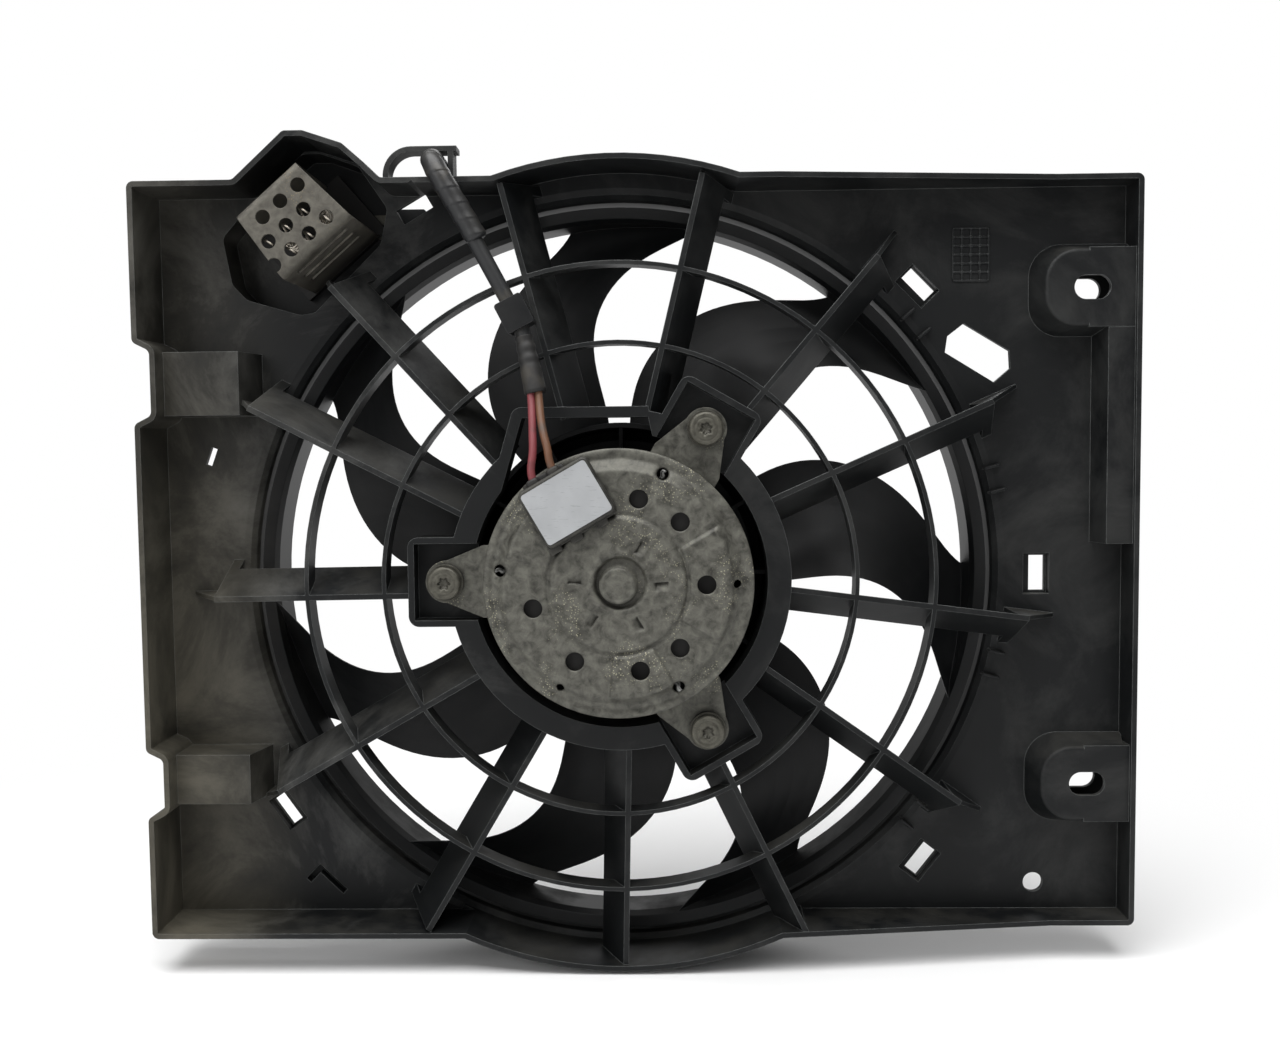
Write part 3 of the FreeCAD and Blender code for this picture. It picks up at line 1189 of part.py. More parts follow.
boot_start, boot_bend = at(-36.6, 42, 86.9), at(-43.2, 37.6, 118)
boot_end = along_line(boot_start, boot_bend, value("boot_length"))
wall_top = at(value("resistor_x + 66.5"), 39.5, value("panel_top + 1.5"))
wall_outside = at(value("resistor_x + 64.1"), 35, value("panel_top + 6"))
behind_top = at(wall_outside.x, value("-terminal_depth"), wall_outside.z)
behind_low = at(wall_outside.x, value("-terminal_depth"), value("plug_z"))
lead_end = at(value("plug_left + plug_length - 3"), value("-terminal_depth"), value("plug_z"))
side_step = (boot_bend - boot_start).cross(Vector(0, 1, 0)).normalize() * value("wire_spread")


def cover_point(across, beyond):
    """Point on a wire's way into the cover, measured outwards from the cover's side."""
    turned = math.radians(value("cover_turn"))
    u, v = Vector(math.cos(turned), 0, math.sin(turned)), Vector(-math.sin(turned), 0, math.cos(turned))
    base = at(value("cover_x"), value("wire_entry_height"), value("cover_z"))
    return base + u * value(across) + v * (value("cover_width / 2") + beyond)


def wires(role="wire"):
    """Red and brown wires from the boot into the brush cover."""
    inside = (boot_end - boot_start).normalize() * 3
    red = [boot_start + side_step + inside, boot_start + side_step * 1.15 - inside * 0.5, at(-38.5, 49, 70),
           cover_point("red_entry_u", 8), cover_point("red_entry_u", -5)]
    brown = [boot_start - side_step + inside, boot_start - side_step * 1.15 - inside * 0.5, at(-33, 49, 71),
             cover_point("brown_entry_u", 8), cover_point("brown_entry_u", -5)]
    return {"wire_red": swept(role + "_red", red, value("wire_radius")),
            "wire_brown": swept(role + "_brown", brown, value("wire_radius"))}


def lead_pieces():
    """Tube from the boot to the plug, with its sleeve, boot, clip and plug."""
    path = [along_line(boot_end, boot_start, 8), boot_bend, wall_top, wall_outside, behind_top, behind_low,
            lead_end]
    tube_piece = swept("lead_tube", path, value("lead_radius"))
    sleeve_path = [along_line(wall_top, boot_bend, value("sleeve_run")), wall_top, wall_outside,
                   along_line(wall_outside, behind_top, 28)]
    sleeve_block = swept("sleeve_block", sleeve_path, value("outer_sleeve_radius"))
    sleeve = boolean("Cut", "lead_sleeve", [sleeve_block, swept("sleeve_space", path, value("lead_radius"))])
    boot_block = computed("boot_block", Part.makeCylinder(value("boot_radius"),
                                                          (boot_end - boot_start).Length,
                                                          boot_start, boot_end - boot_start))
    boot_bores = boolean("MultiFuse", "boot_bores", [swept("boot_space", path, value("lead_radius"))]
                         + list(wires("bore").values()))
    boot = boolean("Cut", "lead_boot", [boot_block, boot_bores])
    clip = new_body("clip_block")
    slab(clip, "clip_body", rectangle("-clip_width / 2", "clip_width / 2", "-clip_length / 2",
                                      "clip_length / 2"),
         "rib_near", "clip_near")
    doc.recompute()
    round_edges(clip, "clip_corners", "clip_corner", is_upright)
    place(clip, "clip_x", "0", "clip_z", "clip_turn")
    clip_cut = boolean("Cut", "spoke_clip", [clip, swept("clip_space", path, value("lead_radius"))])
    plug_body = new_body("plug_block")
    slab(plug_body, "plug_shell", rectangle("plug_left", "plug_left + plug_length", "plug_z - plug_width / 2",
                                            "plug_z + plug_width / 2"),
         "-terminal_depth - plug_height / 2", "-terminal_depth + plug_height / 2")
    doc.recompute()
    round_edges(plug_body, "plug_corners", "plug_corner",
                lambda edge: abs(edge.Vertexes[0].Y - edge.Vertexes[-1].Y) > 5)
    well_outline = new_body("well_outline")
    slab(well_outline, "well_outline_block", well_corners("well_skin"), "-well_depth - well_skin - 5", "0")
    taken = boolean("MultiFuse", "plug_spaces", [well_outline,
                                                 swept("plug_lead_space", path, value("lead_radius")),
                                                 terminal("plug_slot_1", "terminal_z_1"),
                                                 terminal("plug_slot_2", "terminal_z_2")])
    plug = boolean("Cut", "lead_plug", [plug_body, taken])
    return {"lead_tube": tube_piece, "lead_sleeve": sleeve, "lead_boot": boot, "spoke_clip": clip_cut,
            "lead_plug": plug}


def resistor_base():
    plate = new_body("base_plate")
    slab(plate, "base_block", rectangle("-base_length / 2", "base_length / 2", "-base_width / 2",
                                        "base_width / 2"),
         "-well_depth", "-well_depth + base_thickness")
    place(plate, "resistor_x", "0", "resistor_z", "resistor_turn")
    slots = boolean("MultiFuse", "base_slots", [terminal("base_slot_1", "terminal_z_1"),
                                                terminal("base_slot_2", "terminal_z_2")])
    return boolean("Cut", "resistor_base", [plate, slots])


nodes = {"shroud": shroud(), "fan_wheel": fan_wheel(), "fan_driver": fan_driver(),
         "driver_screws": ring_of("driver_screws", driver_screw(), "bolt_count"),
         "motor_shaft": motor_shaft(),
         "armature_core": armature_core(), "armature_windings": armature_windings(),
         "commutator": commutator(),
         "motor_can": motor_can(), "motor_end_cap": motor_end_cap(),
         "magnets": ring_of("magnets", magnet(), "magnet_count", "45"),
         "rear_bearing": bearing("rear_bearing", "can_back + 1"),
         "front_bearing": bearing("front_bearing", "cap_boss_near - cap_skin - bearing_length"),
         "brush_plate": brush_plate(), "brushes": ring_of("brushes", brush(), "brush_count"),
         "brush_springs": ring_of("brush_springs", brush_spring(), "brush_count"),
         "brush_cover": brush_cover(),
         "name_plate": name_plate(), "mount_screws": ring_of("mount_screws", mount_screw(), "bolt_count"),
         "mount_washers": ring_of("mount_washers", mount_washer(), "bolt_count"),
         "rubber_bushings": ring_of("rubber_bushings", bushing(), "bolt_count"),
         "spacer_sleeves": ring_of("spacer_sleeves", spacer_sleeve(), "bolt_count"),
         "mount_nuts": ring_of("mount_nuts", mount_nut(), "bolt_count"), "resistor_guard": resistor_guard(),
         "resistor_base": resistor_base(),
         "resistor_elements": boolean("MultiFuse", "resistor_elements", [wound_element("element_1", "-9"),
                                                                         wound_element("element_2", "9")]),
         "resistor_terminals": boolean("MultiFuse", "resistor_terminals",
                                       [terminal("terminal_1", "terminal_z_1"),
                                                                           terminal("terminal_2",
                                                                                    "terminal_z_2")])}
nodes.update(lead_pieces())
nodes.update(wires())
doc.recompute()

# Every object must be sound before any piece is written
for item in doc.Objects:
    if "Invalid" in item.State or "Error" in item.State:
        raise RuntimeError("%s is %s" % (item.Name, item.State))
for label, item in nodes.items():
    item.Label = label
    shape = item.Shape
    if shape.isNull() or not shape.isValid() or not shape.Solids:
        raise RuntimeError(label + " has no sound solid")
    print(label, round(shape.Volume), len(shape.Solids), [round(n, 1) for n in (
        shape.BoundBox.XMin, shape.BoundBox.XMax, shape.BoundBox.YMin, shape.BoundBox.YMax,
        shape.BoundBox.ZMin,
        shape.BoundBox.ZMax)])
    shape.exportStep("parts/%s.step" % label)
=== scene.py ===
import json

import bmesh
import bpy
import numpy as np
from mathutils import Matrix, Vector


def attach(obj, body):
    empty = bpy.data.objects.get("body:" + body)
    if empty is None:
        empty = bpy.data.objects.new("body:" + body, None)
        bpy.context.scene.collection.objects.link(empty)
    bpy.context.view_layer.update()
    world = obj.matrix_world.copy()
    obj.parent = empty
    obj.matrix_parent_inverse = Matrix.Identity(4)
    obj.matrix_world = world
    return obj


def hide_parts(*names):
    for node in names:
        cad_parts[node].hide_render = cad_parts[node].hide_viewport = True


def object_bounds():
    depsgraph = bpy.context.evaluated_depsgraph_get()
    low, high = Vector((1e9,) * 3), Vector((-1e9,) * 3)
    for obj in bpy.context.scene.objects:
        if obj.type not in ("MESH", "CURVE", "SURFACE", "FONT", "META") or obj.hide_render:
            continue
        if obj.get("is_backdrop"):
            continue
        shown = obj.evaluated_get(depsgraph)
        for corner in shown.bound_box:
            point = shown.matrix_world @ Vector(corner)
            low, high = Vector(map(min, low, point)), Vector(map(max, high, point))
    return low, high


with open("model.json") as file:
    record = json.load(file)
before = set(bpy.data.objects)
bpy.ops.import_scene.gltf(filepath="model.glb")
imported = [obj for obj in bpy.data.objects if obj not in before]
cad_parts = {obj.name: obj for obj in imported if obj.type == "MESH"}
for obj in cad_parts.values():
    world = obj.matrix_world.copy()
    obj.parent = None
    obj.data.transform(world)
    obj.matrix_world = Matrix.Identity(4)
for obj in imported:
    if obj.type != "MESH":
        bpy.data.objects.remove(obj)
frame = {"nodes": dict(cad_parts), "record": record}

lowCorner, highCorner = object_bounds()
cadNodes = frame["nodes"]
# Radiator cooling fan of a car, seen from the motor's side: finishes for the CAD nodes, finer pieces for
# the motor's cap, cover, wires, lead and resistor, then floor and light. Lengths in the dictionaries are
# millimetres from the fan's axis, and heights are over the panel's face
print("frame loaded:", len(cadNodes), "nodes")

# The camera stands a little right of the motor, as in the photograph
cameraSetup = {"eye": (0.0231, -0.6169, 0.0629), "forward": (-0.0227, 0.9977, -0.0633), "roll": 0.0105,
               "lens": 35.58, "sensor": 36.0}


def makeCamera(setup):
    # Axes: forward is given, right is level, then both turn about forward by the roll
    forward = Vector(setup["forward"]).normalized()
    right = forward.cross(Vector((0, 0, 1))).normalized()
    up = right.cross(forward)
    cosine, sine = np.cos(setup["roll"]), np.sin(setup["roll"])
    rolledRight, rolledUp = right * cosine - up * sine, up * cosine + right * sine
    data = bpy.data.cameras.new("camera")
    data.lens = setup["lens"]
    data.sensor_width = setup["sensor"]
    data.sensor_fit = "HORIZONTAL"
    camera = bpy.data.objects.new("camera", data)
    bpy.context.scene.collection.objects.link(camera)
    axes = Matrix((rolledRight, rolledUp, -forward)).transposed().to_4x4()
    camera.matrix_world = Matrix.Translation(setup["eye"]) @ axes
    bpy.context.scene.camera = camera


makeCamera(cameraSetup)


# Small helpers for nodes, colours and meshes
def linear(text):
    # Each sRGB channel of a hex colour becomes linear by the standard curve
    parts = np.array([int(text[i:i + 2], 16) for i in (1, 3, 5)]) / 255
    curve = np.where(parts <= 0.04045, parts / 12.92, ((parts + 0.055) / 1.055) ** 2.4)
    return (*curve.tolist(), 1.0)


def addNode(tree, kind, settings=None, sockets=None):
    # Adds a node, sets its options, and sets or links its sockets
    made = tree.nodes.new(kind)
    for name, setting in (settings or {}).items():
        setattr(made, name, setting)
    for name, given in (sockets or {}).items():
        if isinstance(given, bpy.types.NodeSocket):
            tree.links.new(given, made.inputs[name])
        else:
            made.inputs[name].default_value = given
    return made


def newMaterial(name):
    material = bpy.data.materials.new(name)
    material.use_nodes = True
    tree = material.node_tree
    tree.nodes.clear()
    return material, tree


def closeMaterial(tree, sockets):
    shader = addNode(tree, "ShaderNodeBsdfPrincipled", sockets=sockets)
    addNode(tree, "ShaderNodeOutputMaterial", sockets={"Surface": shader.outputs[0]})


def meshPiece(name, points, faces, material, body="housing"):
    mesh = bpy.data.meshes.new(name)
    mesh.from_pydata(np.asarray(points).tolist(), [], np.asarray(faces).tolist())
    mesh.update()
    mesh.polygons.foreach_set("use_smooth", np.ones(len(mesh.polygons), bool))
    piece = bpy.data.objects.new(name, mesh)
    bpy.context.scene.collection.objects.link(piece)
    mesh.materials.append(material)
    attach(piece, body)
    return piece


def gridFaces(rows, columns, closedColumns=False):
    # Quads of a grid of points that are numbered row by row
    i = np.arange(rows - 1)
    j = np.arange(columns if closedColumns else columns - 1)
    i, j = (a.ravel() for a in np.meshgrid(i, j, indexing="ij"))
    nextJ = (j + 1) % columns
    return np.stack([i * columns + j, i * columns + nextJ, (i + 1) * columns + nextJ,
                     (i + 1) * columns + j], 1)


def ease(x, low, high):
    # Goes smoothly from 0 at low to 1 at high
    t = np.clip((x - low) / (high - low), 0, 1)
    return t * t * (3 - 2 * t)


def mendMesh(piece, gap=0.00002):
    # Joins doubled points at seams and poles, and turns all faces outwards
    made = bmesh.new()
    made.from_mesh(piece.data)
    bmesh.ops.remove_doubles(made, verts=made.verts, dist=gap)
    bmesh.ops.dissolve_degenerate(made, edges=made.edges, dist=gap / 10)
    bmesh.ops.recalc_face_normals(made, faces=made.faces)
    made.to_mesh(piece.data)
    made.free()
    piece.data.polygons.foreach_set("use_smooth", np.ones(len(piece.data.polygons), bool))


def atHeight(x, height, z):
    # Millimetres from the fan's axis and over the panel's face, as a point in metres
    return np.stack(np.broadcast_arrays(x, -np.asarray(height, float), z), -1) / 1000


def smoothLine(controls, count):
    # Clamped cubic spline: each point is the sum of the control points times the cubic basis weights,
    # which grow from steps to cubics by the usual rule of two neighbours
    controls = np.asarray(controls, float)
    degree = 3
    spans = len(controls) - degree
    knots = np.concatenate([np.zeros(degree), np.linspace(0, 1, spans + 1), np.ones(degree)])
    t = np.linspace(0, 1 - 1e-9, count)[:, None]
    weights = ((t >= knots[:-1]) & (t < knots[1:])).astype(float)
    for k in range(1, degree + 1):
        size = len(knots) - k - 1
        first, last = knots[:size], knots[k + 1:k + 1 + size]
        before, after = knots[k:k + size] - first, last - knots[1:1 + size]
        rising = np.where(before > 0, (t - first) / np.where(before > 0, before, 1), 0)
        falling = np.where(after > 0, (last - t) / np.where(after > 0, after, 1), 0)
        weights = rising * weights[:, :size] + falling * weights[:, 1:size + 1]
    return weights @ controls


def tubePoints(line, radii, sides, guide):
    # Rings across a line, closed to a point at both ends. Side comes from the guide, over is square to it
    tangent = np.gradient(line, axis=0)
    tangent /= np.linalg.norm(tangent, axis=1)[:, None]
    side = np.asarray(guide) - tangent * (tangent @ np.asarray(guide))[:, None]
    side /= np.linalg.norm(side, axis=1)[:, None]
    over = np.cross(tangent, side)
    angle = np.linspace(0, 2 * np.pi, sides, endpoint=False)
    radii = np.asarray(radii, float)
    radii = np.broadcast_to(radii if radii.ndim == 2 else radii.reshape(-1, 1), (len(line), sides))
    ring = (line[:, None] + side[:, None] * (radii * np.cos(angle))[..., None]
            + over[:, None] * (radii * np.sin(angle))[..., None])
    start, end = (np.repeat(point, sides, 0)[None] for point in (line[:1], line[-1:]))
    return np.concatenate([start, ring, end])


def tubePiece(name, line, radii, material, sides=20, guide=(1.0, 0.0, 0.0)):
    rings = tubePoints(line, radii, sides, guide)
    piece = meshPiece(name, rings.reshape(-1, 3), gridFaces(len(rings), sides, closedColumns=True), material)
    mendMesh(piece)
    return piece


def blockPoints(centre, halves, across=(1.0, 0.0, 0.0), along=(0.0, 0.0, 1.0), power=0.22, steps=(18, 28)):
    # Superellipsoid: the sines and cosines of both angles are raised to a small power, so that the ball
    # turns into a block with rounded edges
    v = np.linspace(-np.pi / 2, np.pi / 2, steps[0])[:, None]
    u = np.linspace(-np.pi, np.pi, steps[1], endpoint=False)[None]
    cosV, sinV, cosU, sinU = (np.sign(a) * np.abs(a) ** power
                              for a in (np.cos(v), np.sin(v), np.cos(u), np.sin(u)))
    local = np.stack(np.broadcast_arrays(cosV * cosU, cosV * sinU, sinV), -1) * np.asarray(halves)
    across, along = np.asarray(across, float), np.asarray(along, float)
    axes = np.stack([across, along, np.cross(along, across)])
    return (np.asarray(centre) + local @ axes).reshape(-1, 3), gridFaces(*steps, closedColumns=True)


def blocksPiece(name, blocks, material):
    # Several rounded blocks as one piece
    points, faces, count = [], [], 0
    for one in blocks:
        somePoints, someFaces = blockPoints(**one)
        points.append(somePoints)
        faces.append(someFaces + count)
        count += len(somePoints)
    mendMesh(meshPiece(name, np.concatenate(points), np.concatenate(faces), material))


# Polypropylene with talc, injection moulded: satin black, with a fine grain, dust on what faces up,
# and edges lightened partly as rubbed wear and partly as a painted highlight
shroudLook = {"black": "#090a0b", "blackWorn": "#131516", "edge": "#747776", "dust": "#403e38",
              "mud": "#59554a", "bloom": "#5a5a58", "bloomShare": 0.62, "roughness": 0.5,
              "grainSize": 0.8, "edgeRound": 0.55, "dustShare": 0.4}
fanLook = {"black": "#08090a", "blackWorn": "#101112", "edge": "#2c2f30", "dust": "#2c2b28", "mud": "#2e2b26",
           "bloom": "#2c2c2b", "bloomShare": 0.3, "roughness": 0.42, "grainSize": 0.8,
           "edgeRound": 0.5, "dustShare": 0.25}
clipLook = {"black": "#0c0d0f", "blackWorn": "#161718", "edge": "#5a5b5b", "dust": "#3e3b34",
            "mud": "#4a4438", "bloom": "#3a3a39", "bloomShare": 0.4, "roughness": 0.42, "grainSize": 0.6,
            "edgeRound": 0.4, "dustShare": 0.3}
# Sizes of the dust's clouds, the specks along the lightened edges (rubbed wear and painted highlight) and the
# bleached patches in millimetres, then the range in metres over which mud thickens to the left and downwards
plasticPattern = {"cloud": 35.7, "speck": 2.38, "patch": 66.7, "mudLeft": (-0.15, -0.215),
                  "mudLow": (0.11, -0.05), "bleachLeft": (0.0, -0.15), "specular": 0.26}


def mouldedPlastic(name, look, pattern=plasticPattern):
    # Black that goes over to worn, bleached, dusty and muddy, and to a lighter edge colour that is partly
    # rubbed wear and partly painted highlight, each by its own mask
    material, tree = newMaterial(name)
    place = addNode(tree, "ShaderNodeTexCoord").outputs["Object"]
    plain = addNode(tree, "ShaderNodeNewGeometry").outputs["Normal"]
    rounded = addNode(tree, "ShaderNodeBevel", {"samples": 6}, {"Radius": look["edgeRound"] / 1000})
    turned = addNode(tree, "ShaderNodeVectorMath", {"operation": "DOT_PRODUCT"},
                     {0: plain, 1: rounded.outputs[0]})
    edge = addNode(tree, "ShaderNodeMapRange", sockets={"Value": turned.outputs["Value"], "From Min": 0.985,
                                                        "From Max": 0.86})
    cloud = addNode(tree, "ShaderNodeTexNoise",
                    sockets={"Vector": place, "Scale": 1000 / pattern["cloud"], "Detail": 6.0,
                             "Roughness": 0.62})
    speck = addNode(tree, "ShaderNodeTexNoise",
                    sockets={"Vector": place, "Scale": 1000 / pattern["speck"], "Detail": 3.0})
    up = addNode(tree, "ShaderNodeSeparateXYZ", sockets={"Vector": plain})
    facing = addNode(tree, "ShaderNodeMapRange", {"interpolation_type": "SMOOTHSTEP"},
                     {"Value": up.outputs["Z"], "From Min": 0.25, "From Max": 0.95})
    spot = addNode(tree, "ShaderNodeMapRange", sockets={"Value": cloud.outputs["Fac"], "From Min": 0.42,
                                                        "From Max": 0.68})
    settled = addNode(tree, "ShaderNodeMath", {"operation": "MULTIPLY"},
                      {0: facing.outputs[0], 1: spot.outputs[0]})
    share = addNode(tree, "ShaderNodeMath", {"operation": "MULTIPLY"},
                    {0: settled.outputs[0], 1: look["dustShare"]})
    base = addNode(tree, "ShaderNodeMix", {"data_type": "RGBA"},
                   {"Factor": cloud.outputs["Fac"], 6: linear(look["black"]), 7: linear(look["blackWorn"])})
    haze = addNode(tree, "ShaderNodeTexNoise",
                   sockets={"Vector": place, "Scale": 1000 / pattern["patch"], "Detail": 9.0,
                            "Roughness": 0.7, "Distortion": 0.6})
    patch = addNode(tree, "ShaderNodeMapRange", sockets={"Value": haze.outputs["Fac"], "From Min": 0.47,
                                                         "From Max": 0.72})
    across = addNode(tree, "ShaderNodeSeparateXYZ", sockets={"Vector": place})
    bleachStart, bleachEnd = pattern["bleachLeft"]
    toLeft = addNode(tree, "ShaderNodeMapRange",
                     sockets={"Value": across.outputs["X"], "From Min": bleachStart,
                              "From Max": bleachEnd, "To Min": 0.22, "To Max": look["bloomShare"]})
    bloomed = addNode(tree, "ShaderNodeMath", {"operation": "MULTIPLY"},
                      {0: patch.outputs[0], 1: toLeft.outputs[0]})
    bleached = addNode(tree, "ShaderNodeMix", {"data_type": "RGBA"},
                       {"Factor": bloomed.outputs[0], 6: base.outputs[2], 7: linear(look["bloom"])})
    # The edge colour along the bevelled edges is partly rubbed wear and partly a painted highlight
    edgeWearAndHighlight = addNode(tree, "ShaderNodeMath", {"operation": "MULTIPLY"},
                     {0: edge.outputs[0], 1: speck.outputs["Fac"]})
    withEdge = addNode(tree, "ShaderNodeMix", {"data_type": "RGBA"},
                       {"Factor": edgeWearAndHighlight.outputs[0], 6: bleached.outputs[2], 7: linear(look["edge"])})
    (leftStart, leftEnd), (lowStart, lowEnd) = pattern["mudLeft"], pattern["mudLow"]
    left = addNode(tree, "ShaderNodeMapRange", {"interpolation_type": "SMOOTHSTEP"},
                   {"Value": across.outputs["X"], "From Min": leftStart, "From Max": leftEnd})
    lower = addNode(tree, "ShaderNodeMapRange",
                    sockets={"Value": across.outputs["Z"], "From Min": lowStart, "From Max": lowEnd,
                             "To Min": 0.35})
    lowerLeft = addNode(tree, "ShaderNodeMath", {"operation": "MULTIPLY"},
                        {0: left.outputs[0], 1: lower.outputs[0]})
    crust = addNode(tree, "ShaderNodeMapRange", sockets={"Value": haze.outputs["Fac"], "From Min": 0.3,
                                                         "From Max": 0.62, "To Min": 0.1, "To Max": 0.95})
    leftSpot = addNode(tree, "ShaderNodeMath", {"operation": "MULTIPLY"},
                       {0: lowerLeft.outputs[0], 1: crust.outputs[0]})
    dusty = addNode(tree, "ShaderNodeMix", {"data_type": "RGBA"},
                    {"Factor": share.outputs[0], 6: withEdge.outputs[2], 7: linear(look["dust"])})
    muddy = addNode(tree, "ShaderNodeMix", {"data_type": "RGBA"},
                    {"Factor": leftSpot.outputs[0], 6: dusty.outputs[2], 7: linear(look["mud"])})
    dull = addNode(tree, "ShaderNodeMapRange",
                   sockets={"Value": settled.outputs[0], "To Min": look["roughness"], "To Max": 0.85})
    grain = addNode(tree, "ShaderNodeTexNoise",
                    sockets={"Vector": place, "Scale": 1000 / look["grainSize"], "Detail": 2.0})
    bump = addNode(tree, "ShaderNodeBump", sockets={"Strength": 0.12, "Distance": 0.0002,
                                                    "Height": grain.outputs["Fac"],
                                                    "Normal": rounded.outputs[0]})
    closeMaterial(tree, {"Base Color": muddy.outputs[2], "Roughness": dull.outputs[0],
                         "Normal": bump.outputs[0], "IOR": 1.49,
                         "Specular IOR Level": pattern["specular"]})
    return material


shroudPlastic = mouldedPlastic("shroudPolypropylene", shroudLook)
fanPlastic = mouldedPlastic("fanWheelNylon", fanLook)
clipPlastic = mouldedPlastic("clipAndPlugNylon", clipLook)

# Sheet steel, pressed and zinc plated: dull grey beige, mottled where the zinc has oxidised, with
# small pale corrosion spots
capLook = {"bright": "#6b6a62", "dark": "#363530", "spot": "#e0dab8", "grimeAndPaintedShade": "#1c1a16", "metallic": 0.4,
           "roughness": 0.5, "mottleSize": 5.0, "spots": 0.6}
screwLook = {"bright": "#5d5b52", "dark": "#3c3a33", "spot": "#8d8877", "grimeAndPaintedShade": "#151411", "metallic": 0.5,
             "roughness": 0.45, "mottleSize": 3.0, "spots": 0.4}
coverLook = {"bright": "#4a4944", "dark": "#2b2a28", "spot": "#77725f", "grimeAndPaintedShade": "#1b1a18", "metallic": 0.5,
             "roughness": 0.5, "mottleSize": 6.0, "spots": 0.3}
guardLook = {"bright": "#66635b", "dark": "#45423c", "spot": "#a08c66", "grimeAndPaintedShade": "#221f1a", "metallic": 0.45,
             "roughness": 0.5, "mottleSize": 5.0, "spots": 0.5}
steelLook = {"bright": "#8a8a88", "dark": "#6c6c6a", "spot": "#a0a09c", "grimeAndPaintedShade": "#3c3b38", "metallic": 0.9,
             "roughness": 0.38, "mottleSize": 8.0, "spots": 0.1}
groundLook = {"bright": "#b4b4b2", "dark": "#9a9a98", "spot": "#c0c0be", "grimeAndPaintedShade": "#6a6a68", "metallic": 1.0,
              "roughness": 0.22, "mottleSize": 8.0, "spots": 0.0}
laminateLook = {"bright": "#5c5c5e", "dark": "#48484a", "spot": "#6c6a66", "grimeAndPaintedShade": "#2a2a2a",
                "metallic": 0.8, "roughness": 0.55, "mottleSize": 4.0, "spots": 0.1}
copperLook = {"bright": "#b87350", "dark": "#8f4f34", "spot": "#c98a66", "grimeAndPaintedShade": "#4f2a1a", "metallic": 1.0,
              "roughness": 0.35, "mottleSize": 4.0, "spots": 0.1}
ferriteLook = {"bright": "#3d3d3f", "dark": "#2e2e30", "spot": "#4a4a4c", "grimeAndPaintedShade": "#1c1c1d", "metallic": 0.1,
               "roughness": 0.7, "mottleSize": 3.0, "spots": 0.2}
bronzeLook = {"bright": "#9a7a4c", "dark": "#7a5d36", "spot": "#b09262", "grimeAndPaintedShade": "#40301c", "metallic": 0.9,
              "roughness": 0.45, "mottleSize": 3.0, "spots": 0.2}
coilLook = {"bright": "#c9c2b6", "dark": "#9c9488", "spot": "#d6cfc4", "grimeAndPaintedShade": "#5a5348", "metallic": 1.0,
            "roughness": 0.3, "mottleSize": 3.0, "spots": 0.0}
# Sizes of the pale flecks, of the fields they lie in and of the rounding of edges, and the depth of
# the corners that are darkened, partly as grime and partly as painted shade
metalPattern = {"fleck": 1.11, "field": 22.2, "edge": 0.5, "corner": 4.0}


def platedMetal(name, look, pattern=metalPattern):
    # Mottled metal with flecks in some fields, and a darker colour where ambient occlusion finds a corner:
    # partly grime, partly painted shade
    material, tree = newMaterial(name)
    place = addNode(tree, "ShaderNodeTexCoord").outputs["Object"]
    rounded = addNode(tree, "ShaderNodeBevel", {"samples": 4}, {"Radius": pattern["edge"] / 1000})
    mottle = addNode(tree, "ShaderNodeTexNoise",
                     sockets={"Vector": place, "Scale": 1000 / look["mottleSize"], "Detail": 8.0,
                              "Roughness": 0.65, "Distortion": 0.4})
    contrast = addNode(tree, "ShaderNodeMapRange",
                       sockets={"Value": mottle.outputs["Fac"], "From Min": 0.33, "From Max": 0.67})
    base = addNode(tree, "ShaderNodeMix", {"data_type": "RGBA"},
                   {"Factor": contrast.outputs[0], 6: linear(look["dark"]), 7: linear(look["bright"])})
    flecks = addNode(tree, "ShaderNodeTexVoronoi",
                     sockets={"Vector": place, "Scale": 1000 / pattern["fleck"]})
    few = addNode(tree, "ShaderNodeTexNoise",
                  sockets={"Vector": place, "Scale": 1000 / pattern["field"], "Detail": 4.0})
    small = addNode(tree, "ShaderNodeMapRange",
                    sockets={"Value": flecks.outputs["Distance"], "From Min": 0.32, "From Max": 0.12})
    where = addNode(tree, "ShaderNodeMapRange",
                    sockets={"Value": few.outputs["Fac"], "From Min": 0.54, "From Max": 0.68,
                             "To Max": look["spots"]})
    speckle = addNode(tree, "ShaderNodeMath", {"operation": "MULTIPLY"},
                      {0: small.outputs[0], 1: where.outputs[0]})
    spotted = addNode(tree, "ShaderNodeMix", {"data_type": "RGBA"},
                      {"Factor": speckle.outputs[0], 6: base.outputs[2], 7: linear(look["spot"])})
    # Ambient occlusion darkens corners and recesses: partly grime, partly painted shade
    corner = addNode(tree, "ShaderNodeAmbientOcclusion", {"samples": 6},
                     {"Distance": pattern["corner"] / 1000})
    cornerShadeMask = addNode(tree, "ShaderNodeMapRange",
                     sockets={"Value": corner.outputs["AO"], "From Min": 0.75, "From Max": 0.3})
    grimedAndShaded = addNode(tree, "ShaderNodeMix", {"data_type": "RGBA"},
                    {"Factor": cornerShadeMask.outputs[0], 6: spotted.outputs[2], 7: linear(look["grimeAndPaintedShade"])})
    rough = addNode(tree, "ShaderNodeMapRange",
                    sockets={"Value": mottle.outputs["Fac"], "From Min": 0.3, "From Max": 0.7,
                             "To Min": look["roughness"] - 0.1, "To Max": look["roughness"] + 0.15})
    bump = addNode(tree, "ShaderNodeBump", sockets={"Strength": 0.3, "Distance": 0.0003,
                                                    "Height": mottle.outputs["Fac"],
                                                    "Normal": rounded.outputs[0]})
    closeMaterial(tree, {"Base Color": grimedAndShaded.outputs[2], "Metallic": look["metallic"],
                         "Roughness": rough.outputs[0], "Normal": bump.outputs[0]})
    return material


